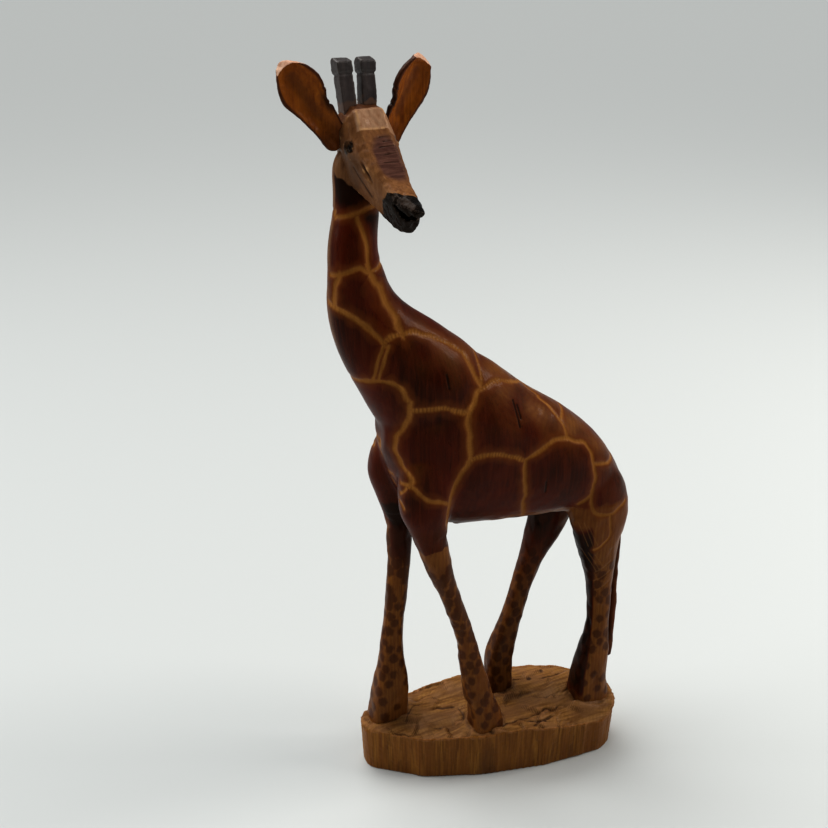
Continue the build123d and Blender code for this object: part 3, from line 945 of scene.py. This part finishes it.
def make_horn(name, side, head, ear):
    """One horn: a square peg with a thicker, bevelled knob."""
    root = head_point(*HORN_ROOT, side) - LEFT * HORN_SHIFT
    length = head_point(*HORN_TIP, side) - LEFT * HORN_SHIFT - root
    along = unit(length)
    depthwise = unit(np.cross(along, LEFT))
    points = []
    for share, width, depth in HORN:
        for a, b in ((-1, -1), (1, -1), (1, 1), (-1, 1)):
            points.append(root + length * share + LEFT * a * width / 2 + depthwise * b * depth / 2)
    horn = tube("carved_" + name, points, 4)
    slice_off(horn, root + length * 0.975 - depthwise * 0.4, unit(along - depthwise * 0.45))
    mesh, edges, points, outs = ready_to_carve(horn, HEAD_VOXEL, 2)
    share = (points - root) @ along / np.linalg.norm(length)
    move = 0.05 * ripple(points, 7, 81 + side) + 0.02 * ripple(points, 2.2, 83 + side)
    move -= 0.25 * np.exp(-(((share - 0.735) / 0.018) ** 2))
    points += outs * move[:, None]
    put(mesh, points)
    bare = (1 - step(share + 0.03 * ripple(points, 3, 84), 0.30, 0.36)) * (0.9 if side == -1 else 0.5)
    store(mesh, share=share, pale=bare, ridge=ridge_of(mesh, edges))
    boolean(horn, head, "DIFFERENCE")
    boolean(horn, ear, "DIFFERENCE")
    return horn


# ---- base --------------------------------------------------------

# Cuts of the knife and the gouge on the top of the base: their points in x and y, half width and depth.
GOUGES = [
    ([(-50, 3), (-43, -4), (-36, -11.5), (-26, -16.6), (-14, -17.6)], 0.45, 0.7),
    ([(-12, -18.2), (-2, -16.6), (12, -15.2), (24, -14), (36, -14.6)], 0.5, 0.8),
    ([(-25, 7), (-19, 5), (-14, 4.2)], 0.9, 1.4),
    ([(-14, 4), (-13.5, -2), (-15, -7)], 0.5, 0.5),
    ([(-26, 12.6), (-35, 7.8), (-41, -0.5)], 0.4, 0.45),
    ([(28, 6.8), (35, 6.2), (42, 5)], 0.5, 0.7),
    ([(33, -7), (41, -6.2), (50, -6.5)], 0.6, 0.7),
    ([(9, -16), (16, -18.4), (22, -20.2)], 0.5, 0.9),
    ([(12, -20.4), (18, -18.8), (26, -17)], 0.55, 0.9),
    ([(-30, -4), (-22, -8)], 0.5, 0.4),
    ([(8, 6), (16, 9), (22, 9.5)], 0.5, 0.5),
]

# How far the top of the base rises to each foot, and over how wide a ring.
MOUNDS = {
    "leg_front_left": (1.4, 3.5),
    "leg_front_right": (3.2, 5.0),
    "leg_hind_left": (4.2, 8.0),
    "leg_hind_right": (1.4, 3.5),
}

FLATS = 64  # knife flats on the top
KNOTS = [((25.0, 8.2), 1.3), ((33.0, 11.1), 1.0)]  # place in x and y, radius


def in_turn(points, turn):
    """The points turned about Z by this many degrees."""
    c, s = cos(radians(turn)), sin(radians(turn))
    return points @ np.array([[c, s, 0], [-s, c, 0], [0, 0, 1]])


def base_solid():
    """The base in flat cuts: its oval block, its sloping top and the knife cuts round the rim."""
    corners = []
    for x, y, radius in BASE_OVAL:
        for z in (0.0, 2 * BASE_HEIGHT):
            wide = radius + z * tan(radians(BASE_TAPER))
            corners += [(x + wide * cos(k * pi / 32), y + wide * sin(k * pi / 32), z) for k in range(64)]
    base = hull_of("carved_base", in_turn(np.array(corners), BASE_TURN))
    slice_off(base, (0, 0, BASE_HEIGHT), direction(180, 90 - BASE_SLOPE))
    for yaw, start in KNIFE_CUTS:
        across = direction(yaw, 0)
        height = BASE_HEIGHT + across[0] * start * sin(radians(BASE_SLOPE))
        slice_off(base, across * start + Z * height, direction(yaw, 90 - KNIFE_SLOPE))
    return base


def knife_flats(points, edges):
    """How high the knife left the top about each point. About each site the top is a plane of its own, and
    the lowest plane near a point wins."""
    draw = np.random.default_rng(17)
    sites = np.column_stack([draw.uniform(-66, 66, FLATS), draw.uniform(-33, 33, FLATS), np.zeros(FLATS)])
    slopes = draw.normal(0, 0.085, (FLATS, 2))
    drops = draw.uniform(-0.3, 0.3, FLATS)
    tree = tree_of(sites)
    level = points * [1, 1.25, 0]
    found = np.array([[hit[1] for hit in tree.find_n(point, 4)] for point in level])
    rises = [((level - sites[site])[:, :2] * slopes[site]).sum(axis=1) + drops[site] for site in found.T]
    return np.clip(evened(np.min(rises, axis=0), edges, 2), -1.3, 0.3)


def make_base():
    """The base: a hand-cut oval with a knife-cut top, a chipped rim and scored sides."""
    base = base_solid()
    mesh, edges, points, outs = ready_to_carve(base, BASE_VOXEL, 2)
    level = step(outs[:, 2], 0.93, 0.97)
    for _ in range(60):
        points[:, 2] += 0.5 * level * (neighbour_mean(points[:, 2], edges) - points[:, 2])
    put(mesh, points)
    outs = normals(mesh)
    top = step(outs[:, 2], 0.75, 0.9)
    side = 1 - step(np.abs(outs[:, 2]), 0.25, 0.6)
    move = knife_flats(points, edges) * top

    # The top swells up to each foot, and a dark cut runs round where they meet.
    moat = np.zeros(len(points))
    for name, (rise, spread) in MOUNDS.items():
        leg_side, sections = LEGS[name]
        _, x, y, long, wide = sections[-1]
        offset = points[:, :2] - [x, leg_side * y]
        reach = np.maximum(np.linalg.norm(offset / [long, wide], axis=1) - 1, 0) * (long + wide) / 2
        move += rise * np.exp(-((reach / spread) ** 2)) * top
        moat = np.maximum(moat, np.exp(-(((reach - 0.6) / 0.9) ** 2)))
    move -= 0.35 * moat * top * (0.7 + 0.5 * ripple(points, 6, 91))
    gouge = np.full(len(points), FAR_OFF)
    for path, half_width, depth in GOUGES:
        path = np.array([(x, y, 0.0) for x, y in smooth_rows(path, 24)])
        path[:, 1] += 0.3 * ripple(path, 5, 90)
        share = np.linspace(0, 1, len(path))
        fade = np.minimum(1, 0.25 + 4 * np.minimum(share, 1 - share))
        found, far = nearest(points * [1, 1, 0], tree_of(path))
        far = far / half_width + 0.15 * ripple(points, 2.5, 92)
        strength = fade[found] * (0.8 + 0.25 * ripple(points, 7, 89))
        move -= depth * strength * np.exp(-(far**2)) * top
        gouge = np.minimum(gouge, np.abs(far) + (1 - fade[found]))
    knot = np.min([np.linalg.norm(points[:, :2] - place, axis=1) / radius for place, radius in KNOTS], axis=0)
    move -= 0.25 * np.exp(-(knot**2)) * top

    around = in_turn(points, -BASE_TURN)
    strands = points * [1, 1, 0.035]
    scored = 0.05 * ripple(strands, 1.9, 93) + 0.14 * ripple(strands, 8, 94)
    move += side * (scored + 0.03 * ripple(points, 2, 95))
    move += top * (0.012 * ripple(points * [0.2, 1, 1], 1.2, 96) + 0.05 * ripple(points, 5, 97))
    rim_near = step(outs[:, 2], 0.3, 0.6) * (1 - step(outs[:, 2], 0.93, 0.985)) * (points[:, 2] > 12)
    chips = step(ripple(around, 9, 98) + 0.3 * ripple(around, 3, 99), 0.2, 1.4)
    move -= rim_near * chips * 0.35
    points = points + outs * move[:, None]
    points[:, 2] = np.maximum(points[:, 2], 0.0)
    put(mesh, points)
    store(mesh, top=top, gouge=gouge, knot=np.minimum(knot, FAR_OFF), moat=moat, ridge=ridge_of(mesh, edges))
    return base


# ---- materials ---------------------------------------------------


def colour(red, green, blue):
    """A display colour, 0 to 255, as the shader needs it."""
    out = []
    for part in (red, green, blue):
        part /= 255
        out.append(part / 12.92 if part <= 0.04045 else ((part + 0.055) / 1.055) ** 2.4)
    return (*out, 1.0)


WARM = (1.0, 0.55, 0.28, 1.0)  # the tint that amber varnish gives to what it reflects


class Finish:
    """One material: short words for the nodes that it is built from, and the colours laid on so far."""

    def __init__(self, name, across=0.34, along=11.0, **sockets):
        self.material = bpy.data.materials.new(name)
        self.material.use_nodes = True
        self.tree = self.material.node_tree
        self.shader = self.tree.nodes["Principled BSDF"]
        for socket, value in sockets.items():
            self.shader.inputs[socket.replace("_", " ")].default_value = value
        self.object_place = self.tree.nodes.new("ShaderNodeTexCoord").outputs["Object"]
        self.tone = None
        # The wood's own figure, up and down the block: pores, streaks and slow changes of tone.
        self.pores = self.ramp(self.noise((across, across, along), 3.0, 0.6), 0.56, 0.72)
        self.streaks = self.noise((1.5, 1.5, 46.0), 3.0, 0.55, 0.5, 3.0)
        self.cloud = self.noise((15.0, 15.0, 30.0), 2.0, 0.5, 0.3, 7.0)

    def node(self, kind, inputs, **settings):
        made = self.tree.nodes.new(kind)
        for key, value in settings.items():
            setattr(made, key, value)
        for key, value in inputs.items():
            socket = made.inputs[key]
            if isinstance(value, bpy.types.NodeSocket):
                self.tree.links.new(value, socket)
            else:
                socket.default_value = colour(*value) if socket.type == "RGBA" else value
        return made

    def fact(self, name):
        """A number that the mesh has at each vertex."""
        return self.node("ShaderNodeAttribute", {}, attribute_name=name).outputs["Fac"]

    def sum(self, a, b, operation="ADD"):
        return self.node("ShaderNodeMath", {0: a, 1: b}, operation=operation).outputs[0]

    def times(self, a, b):
        return self.sum(a, b, "MULTIPLY")

    def noise(self, size, detail=3.0, rough=0.55, twist=0.0, shift=0.0):
        """Noise from 0 to 1 with blobs of this many millimetres along x, y and z."""
        inputs = {"Vector": self.object_place, "Scale": tuple(1 / (part * MM) for part in size),
                  "Location": (shift, shift * 0.7, shift * 1.3)}
        place = self.node("ShaderNodeMapping", inputs).outputs[0]
        inputs = {"Vector": place, "Scale": 1.0, "Detail": detail, "Roughness": rough, "Distortion": twist}
        return self.node("ShaderNodeTexNoise", inputs).outputs["Fac"]

    def rings(self):
        """Growth rings about an upright axis beside the object, as waves from 0 to 1."""
        inputs = {"Vector": self.object_place, "Location": (0.9, 1.7, 0.0),
                  "Scale": (1 / MM, 1 / MM, 0.05 / MM)}
        place = self.node("ShaderNodeMapping", inputs).outputs[0]
        inputs = {"Vector": place, "Scale": 1 / 5.2, "Distortion": 4.5, "Detail": 2.0, "Detail Scale": 0.25}
        return self.node("ShaderNodeTexWave", inputs, wave_type="RINGS", rings_direction="Z").outputs["Fac"]

    def ramp(self, value, low, high, to=1.0):
        """0 at low and `to` at high, and nothing outside of that."""
        inputs = {"Value": value, "From Min": low, "From Max": high, "To Min": 0.0, "To Max": to}
        return self.node("ShaderNodeMapRange", inputs, clamp=True).outputs[0]

    def mix(self, share, a, b):
        """The first colour with this share of the second. A colour may be three numbers, 0 to 255."""
        return self.node("ShaderNodeMix", {0: share, 6: a, 7: b}, data_type="RGBA").outputs[2]

    def lay(self, share, tone):
        """Lays one more colour over those laid on so far."""
        self.tone = self.mix(share, self.tone, tone)

    def streaked(self, light, dark, low=0.3, high=0.7):
        return self.mix(self.ramp(self.streaks, low, high), light, dark)

    def wear_and_edge_highlight(self, high, share, size, start, end, low=0.012):
        """Lighter proud edges, in patches of this size: stain rubbed off, and on the head a painted
        highlight.
        """
        proud = self.ramp(self.fact("ridge"), low, high, share)
        return self.times(proud, self.ramp(self.noise(size), start, end))

    def done(self, least, more, *extra, height=None, depth=0.09):
        """Joins up the shader: its colour, its roughness and a relief this many millimetres deep."""
        rough = self.sum(least, self.ramp(self.streaks, 0.3, 0.75, more))
        for part in extra:
            rough = self.sum(rough, part)
        if height is None:
            height = self.sum(self.times(self.streaks, 0.5), self.times(self.pores, -0.5))
        bump = self.node("ShaderNodeBump", {"Height": height, "Strength": 0.6, "Distance": depth * MM})
        for socket, value in (("Base Color", self.tone), ("Roughness", rough), ("Normal", bump.outputs[0])):
            self.tree.links.new(value, self.shader.inputs[socket])
        return self.material


def dyed_wood(name):
    """Wood stained in dark patches and spots between engraved lines, then varnished."""
    f = Finish(name, Coat_Weight=0.05, Coat_Roughness=0.1, Specular_IOR_Level=0.13, Specular_Tint=WARM)
    bare = f.mix(f.ramp(f.rings(), 0.2, 0.9, 0.5), (134, 86, 36), (106, 60, 20))
    bare = f.mix(f.ramp(f.streaks, 0.35, 0.7), bare, (118, 72, 30))
    bare = f.mix(f.times(f.pores, 0.5), bare, (48, 26, 10))
    patch = f.mix(f.ramp(f.cloud, 0.36, 0.66), (42, 5, 0), (78, 18, 3))
    patch = f.mix(f.ramp(f.streaks, 0.42, 0.74, 0.7), patch, (88, 32, 10))
    patch = f.mix(f.times(f.pores, 0.6), patch, (16, 3, 1))
    uneven = f.ramp(f.noise((4.0, 4.0, 13.0), 3.0, 0.6, 0.0, 5.0), 0.3, 0.7, 0.35)
    # The stain level carries painted shade and a painted sheen as well as the stain; past 1 it is painted
    # shade, laid on as near black below.
    dye_with_painted_light = f.fact("dye_with_painted_light")
    darkness = f.sum(dye_with_painted_light, f.times(f.sum(uneven, -0.17), f.times(f.sum(1.0, dye_with_painted_light, "SUBTRACT"), 1.6)))
    f.tone = f.mix(f.ramp(darkness, 0.0, 1.0), bare, patch)
    f.lay(f.ramp(darkness, 1.0, 1.6, 0.9), (12, 3, 2))
    fray = f.times(f.sum(f.noise((1.1, 1.1, 2.0), 3.0, 0.6, 0.0, 1.0), -0.5), 2.4)
    nape = f.streaked((128, 90, 58), (92, 60, 38))
    f.lay(f.ramp(f.fact("nape"), 0.2, 0.8), nape)
    spotted = f.ramp(f.sum(f.fact("spot"), fray), 0.6, -0.35, 0.72)
    f.lay(spotted, f.mix(f.streaks, (42, 12, 4), (66, 26, 9)))
    blade = f.times(f.sum(f.noise((0.7, 0.7, 1.2), 2.0, 0.6, 0.0, 2.0), -0.5), 0.6)
    edge = f.sum(f.fact("line"), blade)
    lined = f.ramp(edge, 1.55, 0.45)
    beat = f.times(f.fact("along"), 2 * pi / BLADE_BEAT)
    chopped = f.ramp(f.node("ShaderNodeMath", {0: beat}, operation="SINE").outputs[0], -0.2, 0.7)
    chopped = f.times(chopped, f.fact("chop"))
    cut = f.streaked((166, 114, 54), (136, 88, 36))
    cut = f.mix(f.ramp(f.cloud, 0.35, 0.65, 0.7), cut, (130, 82, 30))
    cut = f.mix(f.times(chopped, 0.4), cut, (92, 50, 16))
    cut = f.mix(f.ramp(edge, 0.5, 1.4, 0.5), cut, (112, 64, 22))
    halo = f.ramp(edge, 4.2, 1.0, 0.8)
    halo = f.times(halo, f.sum(0.55, f.times(uneven, 1.4)))
    f.lay(halo, (112, 58, 18))
    f.lay(lined, cut)
    scratched = f.ramp(f.sum(f.fact("scratch"), f.times(blade, 0.5)), 0.40, 0.12, 0.35)
    f.lay(scratched, (150, 106, 60))
    nicked = f.ramp(f.sum(f.fact("nick"), f.times(blade, 0.5)), 0.7, 0.2, 0.9)
    f.lay(nicked, (24, 8, 4))
    f.lay(f.wear_and_edge_highlight(0.036, 0.6, (1.2, 1.2, 3.0), 0.35, 0.65), (112, 70, 34))
    # Painted shade: hollows of the skin away from the engraved lines are darkened.
    painted_hollow_shade = f.ramp(f.fact("ridge"), -0.012, -0.04, 0.6)
    f.lay(f.times(painted_hollow_shade, f.ramp(f.fact("line"), 1.5, 3.0)), (28, 11, 5))
    return f.done(0.30, 0.12, f.times(lined, 0.14), f.ramp(f.cloud, 0.35, 0.7, 0.08))


def face_wood():
    """The head: bare knife cuts in tan, a violet-brown bridge, grey cheeks and a charred muzzle."""
    f = Finish("face_wood", 0.3, 6.0, Coat_Weight=0.06, Coat_Roughness=0.12, Specular_IOR_Level=0.14,
               Specular_Tint=WARM)
    tan = f.streaked((148, 104, 64), (112, 72, 42))
    tan = f.mix(f.times(f.pores, 0.4), tan, (66, 38, 20))
    tan = f.mix(f.ramp(f.cloud, 0.35, 0.65, 0.5), tan, (104, 64, 36))
    # pale: bare cut wood on the brow, and painted light on the far temple.
    f.tone = f.mix(f.times(f.fact("pale"), 0.8), tan, f.streaked((190, 154, 124), (164, 122, 92)))
    f.lay(f.times(f.fact("crown"), 0.6), (84, 44, 24))
    f.lay(f.times(f.fact("cheek"), 0.9), f.streaked((54, 34, 22), (94, 66, 44)))
    lines = f.ramp(f.noise((6.0, 6.0, 0.55), 2.0, 0.6, 0.4, 4.0), 0.42, 0.62)
    bridge = f.mix(lines, (80, 50, 42), (104, 70, 58))
    f.lay(f.fact("violet"), bridge)
    # Painted highlight: pale lines laid along the proud facet edges of the head.
    f.lay(f.wear_and_edge_highlight(0.032, 0.8, (1.4, 1.4, 2.6), 0.2, 0.5), (212, 166, 112))
    # Painted highlight: pale streaks along the brow's edges.
    bare = f.times(f.ramp(f.fact("edge"), 0.65, 0.15, 0.75), f.ramp(f.noise((1.4, 1.4, 2.6)), 0.3, 0.55))
    f.lay(bare, (208, 164, 118))
    # Painted shade: the knife cuts in the face are darkened.
    f.lay(f.ramp(f.fact("crease"), 1.5, 0.5, 0.85), (44, 22, 12))
    # Near black of the charred muzzle, also laid on as painted shade under the jaw and in the eye sockets.
    char_and_shade_tone = f.mix(f.ramp(f.noise((1.0, 1.0, 2.0)), 0.5, 0.7, 0.6), (7, 4, 3), (22, 12, 9))
    fray = f.times(f.sum(f.noise((1.3, 1.3, 1.3), 3.0, 0.6, 0.0, 9.0), -0.5), 0.9)
    f.lay(f.ramp(f.sum(f.fact("burnt"), fray), 0.3, 0.7), char_and_shade_tone)
    return f.done(0.36, 0.16, f.times(f.fact("burnt"), -0.14))


def ear_wood():
    """The ears: a warm brown hollow, dark rims and roots, and bare sliced tips."""
    f = Finish("ear_wood", 0.3, 7.0, Coat_Weight=0.05, Coat_Roughness=0.25, Specular_IOR_Level=0.14,
               Specular_Tint=WARM)
    warm = f.streaked((158, 92, 24), (116, 58, 14), 0.32, 0.7)
    warm = f.mix(f.ramp(f.cloud, 0.4, 0.62, 0.5), warm, (128, 68, 18))
    warm = f.mix(f.times(f.pores, 0.45), warm, (66, 30, 8))
    back = f.mix(f.streaks, (74, 34, 16), (96, 50, 24))
    f.tone = f.mix(f.ramp(f.fact("hollow"), 0.1, 0.6), back, warm)
    f.lay(f.ramp(f.fact("share"), 0.30, 0.10, 0.6), (70, 28, 10))
    f.lay(f.ramp(f.fact("rim"), 0.1, 0.8, 0.75), (50, 22, 10))
    f.lay(f.ramp(f.fact("notch"), 0.2, 0.8, 0.85), (34, 10, 6))
    cut = f.streaked((232, 192, 164), (206, 158, 130), 0.35, 0.65)
    f.lay(f.ramp(f.fact("pale"), 0.3, 0.6), cut)
    f.lay(f.wear_and_edge_highlight(0.04, 0.45, (0.9, 0.9, 1.6), 0.45, 0.65), (120, 76, 44))
    return f.done(0.36, 0.16)


def horn_wood():
    """The horns: charred nearly black, greyer on the bevels and bare low down."""
    f = Finish("horn_wood", 0.35, 6.0, Coat_Weight=0.15, Coat_Roughness=0.25, Specular_IOR_Level=0.35)
    f.tone = f.streaked((46, 36, 34), (68, 55, 51))
    f.lay(f.times(f.pores, 0.5), (18, 13, 13))
    f.lay(f.ramp(f.fact("share"), 0.72, 0.78, 0.4), (50, 46, 44))
    f.lay(f.wear_and_edge_highlight(0.035, 0.6, (0.9, 0.9, 1.8), 0.35, 0.6, 0.010), (98, 88, 80))
    low = f.mix(f.streaks, (118, 84, 60), (96, 64, 44))
    f.lay(f.fact("pale"), low)
    return f.done(0.36, 0.18, depth=0.10)


def base_wood():
    """The base: an orange-brown block with scored sides and a lighter, knife-cut top."""
    f = Finish("base_wood", 0.4, 16.0, Coat_Weight=0.06, Coat_Roughness=0.3, Specular_IOR_Level=0.22,
               Specular_Tint=WARM)
    side = f.mix(f.ramp(f.noise((0.9, 0.9, 60.0), 3.0, 0.6, 0.0, 6.0), 0.36, 0.62), (160, 110, 44),
                 (108, 66, 18))
    side = f.mix(f.ramp(f.noise((3.2, 3.2, 60.0), 2.0, 0.5, 0.0, 4.0), 0.36, 0.62, 0.7), side,
                 (124, 74, 24))
    side = f.mix(f.ramp(f.cloud, 0.35, 0.65, 0.4), side, (112, 66, 22))
    side = f.mix(f.times(f.pores, 0.5), side, (62, 34, 11))
    top = f.mix(f.ramp(f.rings(), 0.25, 0.8, 0.3), (148, 108, 58), (120, 82, 38))
    top = f.mix(f.ramp(f.noise((16.0, 1.4, 4.0), 3.0, 0.6, 0.2, 8.0), 0.4, 0.6, 0.8), top, (98, 60, 24))
    top = f.mix(f.ramp(f.noise((12.0, 8.0, 9.0), 2.0, 0.5, 0.3, 2.0), 0.42, 0.62, 0.6), top, (128, 92, 60))
    top = f.mix(f.times(f.ramp(f.noise((0.5, 0.5, 0.5), 2.0, 0.6), 0.60, 0.72), 0.4), top, (70, 40, 20))
    f.tone = f.mix(f.fact("top"), side, top)
    f.lay(f.ramp(f.fact("moat"), 0.35, 1.0, 0.5), (74, 42, 20))
    f.lay(f.times(f.fact("top"), f.ramp(f.fact("gouge"), 1.0, 0.3, 0.8)), (52, 28, 13))
    f.lay(f.times(f.fact("top"), f.ramp(f.fact("knot"), 1.15, 0.7, 0.9)), (46, 26, 14))
    f.lay(f.wear_and_edge_highlight(0.040, 0.65, (1.4, 1.4, 1.4), 0.35, 0.6, 0.010), (158, 112, 72))
    # Painted shade: hollows in the base are darkened.
    dark = f.ramp(f.fact("ridge"), -0.012, -0.040, 0.6)
    f.lay(dark, (58, 32, 14))
    height = f.sum(f.times(f.noise((0.7, 0.7, 30.0), 3.0, 0.6, 0.0, 6.0), 0.6), f.times(f.pores, -0.4))
    return f.done(0.42, 0.16, height=height, depth=0.14)


# ---- camera, floor and lights ------------------------------------


CAMERA_PLACE = (-0.1630, -0.3296, 0.3319)
CAMERA_DIP = 24.0  # degrees below the horizon
CAMERA_YAW = -21.0
FLOOR_REACH = 40.0
AIM = Vector((0, 0, 0.14))  # where the soft lights point


def make_camera():
    data = bpy.data.cameras.new("camera")
    data.sensor_width = 36.0
    data.lens = 43.48
    data.clip_start = 0.01
    camera = shown("camera", data)
    camera.location = CAMERA_PLACE
    camera.rotation_euler = (radians(90 - CAMERA_DIP), 0, radians(CAMERA_YAW))
    bpy.context.scene.camera = camera


def make_floor():
    corners = [(x * FLOOR_REACH, y * FLOOR_REACH, 0) for x, y in ((-1, -1), (1, -1), (1, 1), (-1, 1))]
    floor = new_object("floor", corners, [[0, 1, 2, 3]])
    material = bpy.data.materials.new("floor")
    material.use_nodes = True
    shader = material.node_tree.nodes["Principled BSDF"]
    shader.inputs["Base Color"].default_value = colour(200, 202, 200)
    shader.inputs["Roughness"].default_value = 1.0
    shader.inputs["Specular IOR Level"].default_value = 0.0
    floor.data.materials.append(material)


def soft_light(name, place, size, power, tint):
    """A square soft light that faces the middle of the giraffe."""
    data = bpy.data.lights.new(name, "AREA")
    data.shape = "SQUARE"
    data.size = size
    data.energy = power
    data.color = tint
    made = shown(name, data)
    made.location = place
    made.rotation_euler = (AIM - Vector(place)).to_track_quat("-Z", "Y").to_euler()


def light_up():
    world = bpy.data.worlds.new("studio")
    bpy.context.scene.world = world
    world.use_nodes = True
    background = world.node_tree.nodes["Background"]
    background.inputs["Color"].default_value = colour(214, 218, 220)
    background.inputs["Strength"].default_value = 0.22
    data = bpy.data.lights.new("ceiling", "SUN")
    data.energy = 2.3
    data.angle = radians(60)
    shown("ceiling", data).rotation_euler = (radians(-24), radians(-14), 0)
    soft_light("window", (-1.1, 0.35, 0.7), 0.7, 4.0, (0.96, 0.98, 1.0))
    soft_light("doorway", (0.9, -0.25, 0.9), 0.5, 7.0, (1.0, 0.98, 0.95))


# ---- assembly ----------------------------------------------------


def finish_piece(piece, node, material):
    """Scales a piece to metres, gives it its material and hands it over in place of its node."""
    mesh = piece.data
    mesh.transform(Matrix.Scale(MM, 4))
    mesh.materials.clear()
    mesh.materials.append(material)
    mesh.polygons.foreach_set("material_index", [0] * len(mesh.polygons))
    mesh.polygons.foreach_set("use_smooth", [True] * len(mesh.polygons))
    mesh.update()
    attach(piece, "root")
    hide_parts(node)


bpy.context.scene.view_settings.view_transform = "Standard"
bpy.context.scene.view_settings.gamma = 0.80
bpy.context.scene.view_settings.exposure = 0.3
make_camera()
make_floor()
light_up()

base = make_base()
head = make_head()
ears = [make_ear(name, *facts, head) for name, facts in EARS.items()]
horns = [make_horn(name, side, head, ear) for (name, side), ear in zip(HORNS.items(), ears)]

skin, skin_facts = carve_skin()
pieces = cut_up(skin)
for name in LEGS:
    boolean(pieces[name], base, "DIFFERENCE")
boolean(pieces["neck"], head, "DIFFERENCE")
for piece in pieces.values():
    keep_facts(piece, skin.data, skin_facts)
drop(skin)

patterned = dyed_wood("patterned_wood")
leg_material = dyed_wood("leg_wood")
ear_material = ear_wood()
horn_material = horn_wood()
finish_piece(base, "base", base_wood())
finish_piece(head, "head", face_wood())
for name, ear in zip(EARS, ears):
    finish_piece(ear, name, ear_material)
for name, horn in zip(HORNS, horns):
    finish_piece(horn, name, horn_material)
for name, piece in pieces.items():
    if name in ("body", "neck"):
        finish_piece(piece, name, patterned)
    else:
        finish_piece(piece, name, leg_material)
